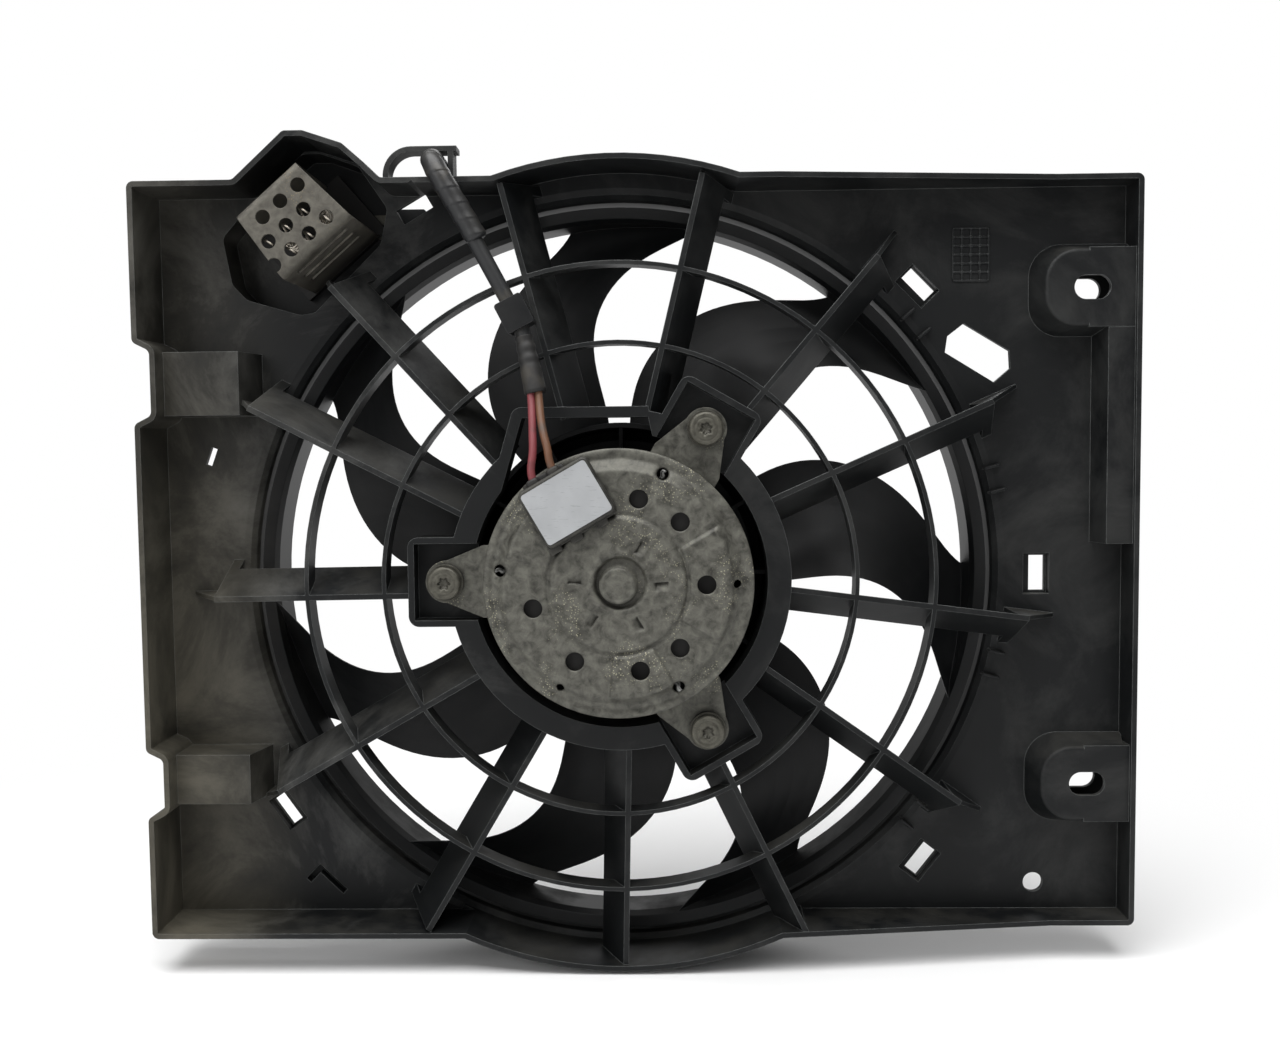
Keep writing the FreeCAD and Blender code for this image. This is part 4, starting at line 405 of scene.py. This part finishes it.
capZinc = platedMetal("zincPlatedPressedSteel", capLook)
screwZinc = platedMetal("darkZincScrews", screwLook)
coverSteel = platedMetal("dullBrushCoverSteel", coverLook)
guardSteel = platedMetal("piercedGuardSteel", guardLook)
plainSteel = platedMetal("plainSteel", steelLook)
groundSteel = platedMetal("groundShaftSteel", groundLook)
laminate = platedMetal("coreLaminations", laminateLook)
copper = platedMetal("enamelledCopper", copperLook)
ferrite = platedMetal("sinteredFerrite", ferriteLook)
bronze = platedMetal("sinteredBronze", bronzeLook)
coilWire = platedMetal("resistanceWire", coilLook)

# Thin aluminium foil plate, left bare: silver, satin, with scratches and dull patches
labelLook = {"silver": "#c6c8ca", "dull": "#a7a9ab", "scratch": "#8e9092", "roughness": 0.36,
             "hazeSize": 11.1, "scratchSize": 5.56, "scratchTurn": 0.55, "stretch": 12.0, "metallic": 0.55}


def foilPlate(name, look):
    material, tree = newMaterial(name)
    place = addNode(tree, "ShaderNodeTexCoord").outputs["Object"]
    turned = addNode(tree, "ShaderNodeMapping", sockets={"Vector": place,
                                                         "Rotation": (0, look["scratchTurn"], 0),
                                                         "Scale": (1.0, 1.0, look["stretch"])})
    haze = addNode(tree, "ShaderNodeTexNoise",
                   sockets={"Vector": place, "Scale": 1000 / look["hazeSize"], "Detail": 6.0})
    streaks = addNode(tree, "ShaderNodeTexNoise",
                      sockets={"Vector": turned.outputs[0], "Scale": 1000 / look["scratchSize"],
                               "Detail": 3.0})
    lines = addNode(tree, "ShaderNodeMapRange", sockets={"Value": streaks.outputs["Fac"], "From Min": 0.64,
                                                         "From Max": 0.7, "To Max": 0.6})
    base = addNode(tree, "ShaderNodeMix", {"data_type": "RGBA"},
                   {"Factor": haze.outputs["Fac"], 6: linear(look["silver"]), 7: linear(look["dull"])})
    marked = addNode(tree, "ShaderNodeMix", {"data_type": "RGBA"},
                     {"Factor": lines.outputs[0], 6: base.outputs[2], 7: linear(look["scratch"])})
    bump = addNode(tree, "ShaderNodeBump", sockets={"Strength": 0.2, "Distance": 0.0001,
                                                    "Height": lines.outputs[0]})
    closeMaterial(tree, {"Base Color": marked.outputs[2], "Metallic": look["metallic"],
                         "Roughness": look["roughness"], "Normal": bump.outputs[0]})
    return material


labelFoil = foilPlate("blankFoilLabel", labelLook)

# PVC insulation and rubber, extruded or moulded: soft sheen, dusty on top, stained in places
redLook = {"clean": "#6c2c31", "dusty": "#8c484c", "stain": "#4c2c2a", "roughness": 0.5}
brownLook = {"clean": "#573724", "dusty": "#7c5a42", "stain": "#4a4038", "roughness": 0.5}
rubberLook = {"clean": "#101010", "dusty": "#2c2a27", "stain": "#3a362f", "roughness": 0.6}
jacketLook = {"clean": "#17181a", "dusty": "#2c2c2b", "stain": "#3a3731", "roughness": 0.5}
tapeLook = {"clean": "#1a1b1d", "dusty": "#34322e", "stain": "#45413a", "roughness": 0.42}
# The phenolic sheet gets near-black colours instead of its own brown: painted shade, standing for the shadow
# inside the vents
sheetLookShadowBlack = {"clean": "#0f0d0b", "dusty": "#1a1714", "stain": "#0a0908", "roughness": 0.7}
carbonLook = {"clean": "#1b1b1c", "dusty": "#262627", "stain": "#303031", "roughness": 0.5}
softPattern = {"cloud": 6.25, "patch": 16.7}


def softInsulation(name, look, pattern=softPattern):
    # Clean colour that goes over to dusty on upper faces and to stained in patches
    material, tree = newMaterial(name)
    place = addNode(tree, "ShaderNodeTexCoord").outputs["Object"]
    normal = addNode(tree, "ShaderNodeNewGeometry").outputs["Normal"]
    up = addNode(tree, "ShaderNodeSeparateXYZ", sockets={"Vector": normal})
    cloud = addNode(tree, "ShaderNodeTexNoise",
                    sockets={"Vector": place, "Scale": 1000 / pattern["cloud"], "Detail": 5.0})
    patch = addNode(tree, "ShaderNodeTexNoise",
                    sockets={"Vector": place, "Scale": 1000 / pattern["patch"], "Detail": 4.0})
    facing = addNode(tree, "ShaderNodeMapRange", sockets={"Value": up.outputs["Z"], "From Min": -0.4,
                                                          "From Max": 1.0})
    settled = addNode(tree, "ShaderNodeMath", {"operation": "MULTIPLY"},
                      {0: facing.outputs[0], 1: cloud.outputs["Fac"]})
    stained = addNode(tree, "ShaderNodeMapRange", sockets={"Value": patch.outputs["Fac"], "From Min": 0.56,
                                                           "From Max": 0.7})
    base = addNode(tree, "ShaderNodeMix", {"data_type": "RGBA"},
                   {"Factor": settled.outputs[0], 6: linear(look["clean"]), 7: linear(look["dusty"])})
    marked = addNode(tree, "ShaderNodeMix", {"data_type": "RGBA"},
                     {"Factor": stained.outputs[0], 6: base.outputs[2], 7: linear(look["stain"])})
    bump = addNode(tree, "ShaderNodeBump", sockets={"Strength": 0.2, "Distance": 0.0002,
                                                    "Height": cloud.outputs["Fac"]})
    closeMaterial(tree, {"Base Color": marked.outputs[2], "Roughness": look["roughness"],
                         "Normal": bump.outputs[0], "IOR": 1.5})
    return material


redInsulation = softInsulation("redWirePvc", redLook)
brownInsulation = softInsulation("brownWirePvc", brownLook)
rubber = softInsulation("bushingRubber", rubberLook)
jacket = softInsulation("leadJacketPvc", jacketLook)
tape = softInsulation("harnessTape", tapeLook)
shadowBlackSheet = softInsulation("phenolicSheetPaintedShadowBlack", sheetLookShadowBlack)
carbon = softInsulation("brushCarbon", carbonLook)

finishes = {
    "black_plastic": shroudPlastic, "fan_plastic": fanPlastic, "plain_steel": plainSteel,
    "dark_screws": screwZinc, "ground_steel": groundSteel, "core_steel": laminate, "copper": copper,
    "zinc_plated_steel": capZinc, "ferrite": ferrite, "bronze": bronze, "brown_insulation": shadowBlackSheet,
    "carbon": carbon, "dull_steel_cover": coverSteel, "blank_label": labelFoil, "bushing_rubber": rubber,
    "guard_steel": guardSteel, "resistance_wire": coilWire, "lead_jacket": jacket, "sleeve_plastic": tape,
    "red_insulation": redInsulation, "brown_wire": brownInsulation,
}
for subpart in frame["record"]["subparts"]:
    nodeMesh = cadNodes[subpart["node"]].data
    nodeMesh.materials.clear()
    nodeMesh.materials.append(finishes[subpart["material_slot"]])
for nodeName in ("spoke_clip", "lead_plug"):
    cadNodes[nodeName].data.materials[0] = clipPlastic
cadNodes["resistor_terminals"].data.materials[0] = screwZinc
print("materials made:", len(finishes) + 1)

# Pressed cap on the motor's near end. Sectors, tabs, vents, eyes and torn holes are given by angles in
# degrees. The rim's groove is its radius, width and depth, the disc's how far out it lies, width and depth
capShape = {
    "rim": 61.7, "rimHeight": 45.6, "rimFall": 0.5, "rimRound": 1.6, "foot": 37.0, "stepStart": 51.0,
    "stepEnd": 57.0, "face": 50.0, "rimGroove": (57.6, 0.7, 0.45), "discGroove": (1.2, 0.7, 0.9),
    "disc": 31.0, "discRise": 1.1, "sectors": [(-30, 30), (-95, -61), (104, 166)], "sectorRise": 1.5,
    "sectorStart": (31.5, 33.0), "sectorEnd": (50.5, 53.5), "sectorEdge": (-0.5, 0.9),
    "boss": 8.8, "bossHeight": 53.0, "bossRound": (7.0, 0.9), "bossRing": 6.1,
    "collar": 12.0, "collarShift": 1.0, "collarRise": 0.5, "collarDepth": 2.6,
    "tabs": [3, 62, 177, -123, -60], "tabRadius": 19.6, "tabHalf": 3.1, "tabWidth": 4.2, "tabDepth": 1.8,
    "vents": [76, 45, 0, -46, -76, -120, -165], "ventCircle": 40.0, "ventRadius": 4.3,
    "eyes": [0, -120], "eyeCircle": 54.0, "eyeRadius": 1.9, "torn": [172.8, 67.6, -60], "tornRadius": 2.7,
    "tornDip": (1.5, 4.5, 0.9), "sheet": 1.2, "rings": 84, "turns": 520, "skirtRings": 6,
}


def capHeight(x, z, shape):
    # Height of the pressed sheet at a point: the face, less the fall to the rim and the ring grooves, plus
    # the raised disc and sectors, with the boss in its collar and the lanced tabs sunk on one side
    radius, angle = np.hypot(x, z), np.degrees(np.arctan2(z, x))
    fall = shape["face"] - shape["rimHeight"] - shape["rimFall"]
    height = shape["face"] - fall * ease(radius, shape["stepStart"], shape["stepEnd"])
    height -= shape["rimFall"] * ease(radius, shape["rim"] - shape["rimRound"], shape["rim"])
    place, width, depth = shape["rimGroove"]
    height -= depth * np.exp(-((radius - place) / width) ** 2)
    raised = np.zeros_like(radius)
    for low, high in shape["sectors"]:
        middle, half = (low + high) / 2, (high - low) / 2
        away = np.abs((angle - middle + 180) % 360 - 180)
        raised = np.maximum(raised, ease(np.radians(half - away) * radius, *shape["sectorEdge"]))
    raised *= ease(radius, *shape["sectorStart"]) * (1 - ease(radius, *shape["sectorEnd"]))
    height += shape["sectorRise"] * raised
    height += shape["discRise"] * (1 - ease(radius, shape["disc"] - 1.2, shape["disc"] + 0.5))
    out, width, depth = shape["discGroove"]
    height -= depth * np.exp(-((radius - shape["disc"] - out) / width) ** 2)
    shifted = np.hypot(x - shape["collarShift"], z - shape["collarShift"])
    height += shape["collarRise"] * np.exp(-((shifted - shape["collar"] - 1.4) / 0.9) ** 2)
    height -= shape["collarDepth"] * (1 - ease(shifted, shape["collar"] - 0.9, shape["collar"]))
    roundStart, roundFall = shape["bossRound"]
    bossTop = shape["bossHeight"] - roundFall * ease(radius, roundStart, shape["boss"])
    bossTop -= 0.4 * np.exp(-((radius - shape["bossRing"]) / 0.35) ** 2) + 0.25 * (radius < shape["bossRing"])
    height = np.where(radius < shape["boss"], bossTop, height)
    for turn in np.radians(shape["tabs"]):
        out = x * np.cos(turn) + z * np.sin(turn) - shape["tabRadius"]
        over = z * np.cos(turn) - x * np.sin(turn)
        inside = (np.abs(out) < shape["tabHalf"]) & (over > -shape["tabWidth"]) & (over < 0.3)
        height -= inside * shape["tabDepth"] * np.clip(1 + over / shape["tabWidth"], 0, 1)
    dipStart, dipEnd, dip = shape["tornDip"]
    for turn in np.radians(shape["torn"]):
        away = np.hypot(x - shape["eyeCircle"] * np.cos(turn), z - shape["eyeCircle"] * np.sin(turn))
        height -= dip * (1 - ease(away, dipStart, dipEnd))
    return height


def makeCap(shape):
    # Grid of rings and turns, then a straight skirt; points near a hole's edge move onto it, the faces
    # inside it go, and Solidify gives the sheet its thickness
    skirt = shape["skirtRings"]
    radii = np.concatenate([np.linspace(0.02, shape["rim"], shape["rings"]), np.full(skirt, shape["rim"])])
    drop = np.concatenate([np.zeros(shape["rings"]), np.linspace(0.25, 1, skirt)])[:, None]
    turns = np.linspace(0, 2 * np.pi, shape["turns"], endpoint=False)
    x, z = radii[:, None] * np.cos(turns), radii[:, None] * np.sin(turns)
    holes = [(a, shape["ventCircle"], shape["ventRadius"]) for a in shape["vents"]]
    holes += [(a, shape["eyeCircle"], shape["eyeRadius"]) for a in shape["eyes"]]
    holes += [(a, shape["eyeCircle"], shape["tornRadius"]) for a in shape["torn"]]
    gone = np.zeros(x.shape, bool)
    reach = 0.72 * shape["rim"] / shape["rings"]
    for a, circle, size in holes:
        cx, cz = circle * np.cos(np.radians(a)), circle * np.sin(np.radians(a))
        away = np.hypot(x - cx, z - cz)
        near = np.abs(away - size) < reach
        pull = np.where(near, size / np.maximum(away, 1e-6), 1.0)
        x, z = np.where(near, cx + (x - cx) * pull, x), np.where(near, cz + (z - cz) * pull, z)
        gone |= (away < size) | near
    height = capHeight(x, z, shape) * (1 - drop) + shape["foot"] * drop
    faces = gridFaces(*x.shape, closedColumns=True)[:, ::-1]
    faces = faces[~gone.ravel()[faces].all(1)]
    used, index = np.unique(faces, return_inverse=True)
    points = atHeight(x, height, z).reshape(-1, 3)[used]
    piece = meshPiece("pressedMotorCap", points, index.reshape(-1, 4), capZinc)
    wall = piece.modifiers.new("sheet", "SOLIDIFY")
    wall.thickness = shape["sheet"] / 1000
    wall.offset = -1
    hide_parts("motor_end_cap")


makeCap(capShape)

# Bright tongues torn up in the three ragged holes of the cap
tongueShape = {"start": -2.4, "length": 4.4, "width": 2.6, "sunk": 3.6, "rise": 2.2, "sheet": 0.5,
               "grid": (10, 6)}


def makeTongues(shape, cap):
    # A strip that rises from under the sheet and curls: height grows with the square of its length, and
    # sines sway it from side to side
    rows, columns = shape["grid"]
    s, t = np.meshgrid(np.linspace(0, 1, rows), np.linspace(-0.5, 0.5, columns), indexing="ij")
    points, faces = [], []
    for number, turn in enumerate(np.radians(cap["torn"])):
        out = cap["eyeCircle"] + shape["start"] + shape["length"] * s
        over = shape["width"] * t * (1 - 0.35 * s) + 0.4 * np.sin(7 * s + 3 * number)
        height = cap["face"] - shape["sunk"] + shape["rise"] * s ** 2 + 0.3 * np.cos(9 * t + number)
        x = out * np.cos(turn) - over * np.sin(turn)
        z = out * np.sin(turn) + over * np.cos(turn)
        points.append(atHeight(x, height, z).reshape(-1, 3))
        faces.append(gridFaces(rows, columns) + rows * columns * number)
    piece = meshPiece("tornTongues", np.concatenate(points), np.concatenate(faces), plainSteel)
    wall = piece.modifiers.new("sheet", "SOLIDIFY")
    wall.thickness = shape["sheet"] / 1000


makeTongues(tongueShape, capShape)

# Feet that clamp the brush cover, the ledge between them, and the seals and lip where its two wires
# enter. Each is a rounded block: how far it stands out past the cover's edge, its height, its half sizes
coverShape = {
    "x": -22.2, "z": 37.8, "turn": 30.0, "halfWidth": 14.5, "entries": [-8.7, 1.7], "entryHeight": 53.5,
    "feet": [-15.3, -4.3, 8.7], "footOut": 0.9, "footHeight": 52.0, "footHalves": (3.0, 2.1, 1.3),
    "ledgeOut": -0.3, "ledgeHeight": 51.6, "ledgeHalves": (16.8, 1.1, 1.6),
    "sealOut": 0.6, "sealSink": 0.4, "sealHalves": (3.1, 2.0, 3.0), "sealPower": 0.6,
    "lip": -3.4, "lipOut": 0.2, "lipHeight": 51.5, "lipHalves": (10.5, 1.8, 2.2), "lipPower": 0.35,
}


def coverPoint(u, v, height, shape):
    turn = np.radians(shape["turn"])
    return atHeight(shape["x"] + u * np.cos(turn) - v * np.sin(turn), height,
                    shape["z"] + u * np.sin(turn) + v * np.cos(turn))


def makeCoverParts(shape):
    turn = np.radians(shape["turn"])
    across, along = (np.cos(turn), 0, np.sin(turn)), (-np.sin(turn), 0, np.cos(turn))

    def block(u, v, height, halves, **more):
        return {"centre": coverPoint(u, v, height, shape), "across": across, "along": along,
                "halves": np.array(halves) / 1000, **more}

    low, high = -shape["halfWidth"], shape["halfWidth"]
    feet = [block(u, low - shape["footOut"], shape["footHeight"], shape["footHalves"])
            for u in shape["feet"]]
    feet.append(block(0, low - shape["ledgeOut"], shape["ledgeHeight"], shape["ledgeHalves"]))
    blocksPiece("coverFeet", feet, coverSteel)
    seals = [block(u, high + shape["sealOut"], shape["entryHeight"] - shape["sealSink"],
                   shape["sealHalves"], power=shape["sealPower"]) for u in shape["entries"]]
    seals.append(block(shape["lip"], high + shape["lipOut"], shape["lipHeight"], shape["lipHalves"],
                       power=shape["lipPower"]))
    blocksPiece("wireSeals", seals, rubber)


makeCoverParts(coverShape)

# Red and brown wires from the boot into the cover, nearly straight, with the slack of soft PVC
wireShape = {"radius": 1.8, "steps": 64, "entryReach": (4.5, -4.0)}
wireRoutes = {
    "wireRed": {"points": [(-39.6, 42.0, 94.0), (-38.9, 42.5, 88.0), (-38.0, 45.5, 80.0),
                           (-37.6, 50.0, 68.0), (-36.9, 53.0, 58.0)],
                "entry": 0, "material": redInsulation, "node": "wire_red", "slot": "red_insulation"},
    "wireBrown": {"points": [(-36.0, 42.0, 94.0), (-35.3, 42.6, 88.0), (-34.6, 46.0, 79.0),
                             (-33.0, 50.5, 69.0), (-29.9, 53.2, 60.0)],
                  "entry": 1, "material": brownInsulation, "node": "wire_brown", "slot": "brown_wire"},
}


def makeWires(shape, routes, cover):
    for name, route in routes.items():
        controls = [atHeight(*point) for point in route["points"]]
        controls += [coverPoint(cover["entries"][route["entry"]], cover["halfWidth"] + out,
                                cover["entryHeight"], cover) for out in shape["entryReach"]]
        line = smoothLine(controls, shape["steps"])
        piece = tubePiece(name, line, shape["radius"] / 1000, route["material"])
        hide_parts(route["node"])


makeWires(wireShape, wireRoutes, coverShape)

# Heads of the three motor screws: a domed disc with a pressed ring and a six-lobed recess
screwShape = {"circle": 81.0, "turns": [180, 60, -60], "lobe": 0.16, "lobeReach": 3.0, "steps": 72,
              "profile": [(0.05, 37.2), (2.2, 37.2), (2.6, 38.5), (3.0, 38.8), (4.9, 38.9), (5.3, 38.5),
                          (5.8, 38.9), (7.0, 38.7), (7.6, 38.2), (7.8, 37.4), (7.8, 36.5), (7.4, 36.2),
                          (0.05, 36.2)]}


def makeScrewHeads(shape):
    # Profile turned round each screw's axis; near the middle the radius grows with the cosine of six turns
    profile, steps = np.array(shape["profile"]), shape["steps"]
    turn = np.linspace(0, 2 * np.pi, steps, endpoint=False)
    radius = profile[:, :1] * (1 + shape["lobe"] * np.cos(6 * turn) * (profile[:, :1] < shape["lobeReach"]))
    height = profile[:, 1:] * np.ones(steps)
    points, faces = [], []
    for number, place in enumerate(np.radians(shape["turns"])):
        x = shape["circle"] * np.cos(place) + radius * np.cos(turn + 0.3 * number)
        z = shape["circle"] * np.sin(place) + radius * np.sin(turn + 0.3 * number)
        points.append(atHeight(x, height, z).reshape(-1, 3))
        faces.append(gridFaces(len(profile), steps, closedColumns=True) + number * x.size)
    piece = meshPiece("motorScrewHeads", np.concatenate(points), np.concatenate(faces), screwZinc)
    mendMesh(piece, 0.00001)


makeScrewHeads(screwShape)
print("motor pieces made")

# Tapered rubber boot with shallow rings, at the lead's lower end
bootShape = {"start": (-36.6, 42.0, 86.9), "bend": (-43.2, 37.6, 118.0), "length": 26.5, "wide": 5.2,
             "narrow": 4.3, "rings": 5, "ringDepth": 0.35, "endRound": 0.12, "steps": 90, "sides": 32}


def makeBoot(shape):
    # A tube whose radius falls from wide to narrow, with a cosine of shallow rings on its upper half
    start, bend = np.array(atHeight(*shape["start"])), np.array(atHeight(*shape["bend"]))
    along = (bend - start) / np.linalg.norm(bend - start)
    s = np.linspace(0, 1, shape["steps"])
    line = start + along * (s * shape["length"] / 1000)[:, None]
    radii = shape["wide"] + (shape["narrow"] - shape["wide"]) * s
    radii -= shape["ringDepth"] * (0.5 - 0.5 * np.cos(2 * np.pi * shape["rings"] * s)) * ease(s, 0.35, 0.6)
    radii *= 1 - shape["endRound"] * (1 - ease(s, 0, 0.05))
    piece = tubePiece("leadBoot", line, radii / 1000, rubber, sides=shape["sides"])
    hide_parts("lead_boot")


makeBoot(bootShape)

# Sleeve where the lead goes over the wall: cloth tape wound on in overlapping turns
sleeveShape = {"radius": 5.2, "pitch": 8.0, "overlap": 0.24, "wave": 0.07, "endRound": 1.2,
               "endShare": 0.8, "steps": 260, "sides": 32,
               "points": [(-62.3, 38.6, 156.5), (-66.0, 38.8, 163.0), (-73.0, 39.3, 175.5),
                          (-80.2, 39.9, 187.0), (-84.0, 35.5, 195.0), (-82.9, 22.0, 193.2),
                          (-82.9, 12.0, 192.6), (-82.9, 7.0, 192.5)]}


def makeSleeve(shape):
    # Tube whose radius has a sawtooth that winds round it: one step for each turn of the tape
    line = smoothLine([atHeight(*point) for point in shape["points"]], shape["steps"])
    steps = np.linalg.norm(np.diff(line, axis=0), axis=1)
    travelled = np.concatenate([[0], np.cumsum(steps)])[:, None] * 1000
    around = np.linspace(0, 1, shape["sides"], endpoint=False)
    phase = (travelled / shape["pitch"] + around) % 1
    radii = shape["radius"] - shape["overlap"] * phase + shape["wave"] * np.sin(travelled * 0.8 + 9 * around)
    whole, endRound = travelled[-1], shape["endRound"]
    ends = ease(travelled, 0, endRound) * (1 - ease(travelled, whole - endRound, whole))
    radii *= shape["endShare"] + (1 - shape["endShare"]) * ends
    piece = tubePiece("tapedSleeve", line, radii / 1000, tape, sides=shape["sides"])
    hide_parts("lead_sleeve")


makeSleeve(sleeveShape)
print("lead pieces made")

# Coiled resistance wire just under the guard's two lower rows of holes
coilShape = {"x": -147.0, "z": 167.3, "turn": 41.0, "height": 34.6, "radius": 3.3, "wire": 0.55, "pitch": 5.4,
             "rows": [(-1.1, -16.5, 10.5), (-10.7, -11.0, 16.0)], "pointsPerTurn": 20, "sides": 8}


def makeResistorCoils(shape):
    # Helix along the guard: across and depth follow the cosine and sine of one turn for each pitch
    turn = np.radians(shape["turn"])
    along, across = np.array([np.cos(turn), 0, np.sin(turn)]), np.array([-np.sin(turn), 0, np.cos(turn)])
    middle = atHeight(shape["x"], shape["height"], shape["z"])
    for number, (row, low, high) in enumerate(shape["rows"], 1):
        count = int((high - low) / shape["pitch"] * shape["pointsPerTurn"])
        s = np.linspace(low, high, count)[:, None]
        angle = 2 * np.pi * s / shape["pitch"]
        line = middle + (s * along + (row + shape["radius"] * np.cos(angle)) * across
                         - shape["radius"] * np.sin(angle) * np.array([0, 1, 0])) / 1000
        tubePiece("resistorCoil%d" % number, line, shape["wire"] / 1000, coilWire,
                  sides=shape["sides"], guide=tuple(along))


makeResistorCoils(coilShape)

# Moulded small forms of the panel: the patch of crossed ridges beside the upper right window, and the
# short fins that stand on both sides of the ribs' outer ends
patchShape = {"x": (160.5, 177.5), "z": (140.0, 165.0), "columns": 5, "rows": 7, "half": 0.45,
              "rise": 0.5}
finShape = {"turns": [14, 40, -14, -40], "radius": 186.0, "aside": 6.0, "half": 4.2, "thick": 0.8,
            "rise": 3.0}
coarseSteps = (8, 12)


def makePanelForms(patch, fin):
    (lowX, highX), (lowZ, highZ) = patch["x"], patch["z"]
    halfX, halfZ = (highX - lowX) / 2, (highZ - lowZ) / 2
    half, rise = patch["half"], patch["rise"]
    bars = [((x, lowZ + halfZ), (half, halfZ)) for x in np.linspace(lowX, highX, patch["columns"])]
    bars += [((lowX + halfX, z), (halfX, half)) for z in np.linspace(lowZ, highZ, patch["rows"])]
    blocks = [{"centre": atHeight(x, rise / 2, z), "halves": np.array([wide, deep, rise]) / 1000,
               "steps": coarseSteps} for (x, z), (wide, deep) in bars]
    for turn in np.radians(fin["turns"]):
        out, over = np.array([np.cos(turn), np.sin(turn)]), np.array([-np.sin(turn), np.cos(turn)])
        for side in (-1, 1):
            x, z = fin["radius"] * out + side * fin["aside"] * over
            blocks.append({"centre": atHeight(x, fin["rise"] / 2, z), "across": (out[0], 0, out[1]),
                           "along": (over[0], 0, over[1]), "steps": coarseSteps,
                           "halves": np.array([fin["half"], fin["thick"], fin["rise"]]) / 1000})
    blocksPiece("panelRidgesAndFins", blocks, shroudPlastic)


makePanelForms(patchShape, finShape)
print("panel forms made")

# Pale floor under the panel, fading to the white of the room so that no horizon shows
floorSetup = {"radius": 3.0, "nearShade": 0.92, "fadeStart": 0.3, "fadeEnd": 0.62, "gap": 0.0004,
              "rings": 8, "spokes": 64}


def makeFloor(setup):
    # A flat disc: rings at growing radius, just under the panel's lowest point
    material, tree = newMaterial("paleFloor")
    place = addNode(tree, "ShaderNodeTexCoord").outputs["Object"]
    distance = addNode(tree, "ShaderNodeVectorMath", {"operation": "LENGTH"}, {0: place})
    fade = addNode(tree, "ShaderNodeMapRange", {"interpolation_type": "SMOOTHSTEP"},
                   {"Value": distance.outputs["Value"], "From Min": setup["fadeStart"],
                    "From Max": setup["fadeEnd"]})
    paper = addNode(tree, "ShaderNodeBsdfDiffuse", sockets={"Color": (*[setup["nearShade"]] * 3, 1)})
    white = addNode(tree, "ShaderNodeEmission", sockets={"Color": (1, 1, 1, 1), "Strength": 1.0})
    mixed = addNode(tree, "ShaderNodeMixShader", sockets={0: fade.outputs[0], 1: paper.outputs[0],
                                                          2: white.outputs[0]})
    addNode(tree, "ShaderNodeOutputMaterial", sockets={"Surface": mixed.outputs[0]})
    rings, spokes = setup["rings"], setup["spokes"]
    radii = np.linspace(0.001, setup["radius"], rings)
    r, a = np.meshgrid(radii, np.linspace(0, 2 * np.pi, spokes, endpoint=False), indexing="ij")
    level = np.full_like(r, lowCorner.z - setup["gap"])
    points = np.stack([r * np.cos(a), r * np.sin(a), level], -1).reshape(-1, 3)
    mesh = bpy.data.meshes.new("floor")
    mesh.from_pydata(points.tolist(), [], gridFaces(rings, spokes, closedColumns=True).tolist())
    mesh.materials.append(material)
    floor = bpy.data.objects.new("floor", mesh)
    bpy.context.scene.collection.objects.link(floor)
    floor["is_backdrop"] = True


makeFloor(floorSetup)

# Plain soft studio light: a wide box overhead, weaker ones from the front left and the back, and a pale
# room. Places and sizes are in metres
lightSetup = {
    "overhead": {"place": (-0.15, -0.45, 1.15), "size": (1.6, 1.0), "watts": 27.0, "aim": (0, 0, 0)},
    "front": {"place": (-1.1, -1.3, 0.55), "size": (0.9, 0.9), "watts": 7.0, "aim": (0, 0, 0)},
    "back": {"place": (0.3, 1.3, 0.9), "size": (1.4, 0.8), "watts": 8.0, "aim": (0, 0, 0)},
}
roomLight = 0.22


def makeLights(setup):
    for name, one in setup.items():
        data = bpy.data.lights.new(name, "AREA")
        data.shape = "RECTANGLE"
        data.size, data.size_y = one["size"]
        data.energy = one["watts"]
        lamp = bpy.data.objects.new(name, data)
        bpy.context.scene.collection.objects.link(lamp)
        lamp.location = one["place"]
        aim = Vector(one["aim"]) - Vector(one["place"])
        lamp.rotation_euler = aim.to_track_quat("-Z", "Y").to_euler()
    world = bpy.data.worlds.new("room")
    bpy.context.scene.world = world
    world.use_nodes = True
    tree = world.node_tree
    tree.nodes.clear()
    path = addNode(tree, "ShaderNodeLightPath")
    level = addNode(tree, "ShaderNodeMapRange", sockets={"Value": path.outputs["Is Camera Ray"],
                                                         "To Min": roomLight, "To Max": 1.0})
    room = addNode(tree, "ShaderNodeBackground", sockets={"Color": (1, 1, 1, 1),
                                                          "Strength": level.outputs[0]})
    addNode(tree, "ShaderNodeOutputWorld", sockets={"Surface": room.outputs[0]})


makeLights(lightSetup)
bpy.context.scene.view_settings.view_transform = "Standard"
print("camera, floor and lights made")

lowCorner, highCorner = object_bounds()
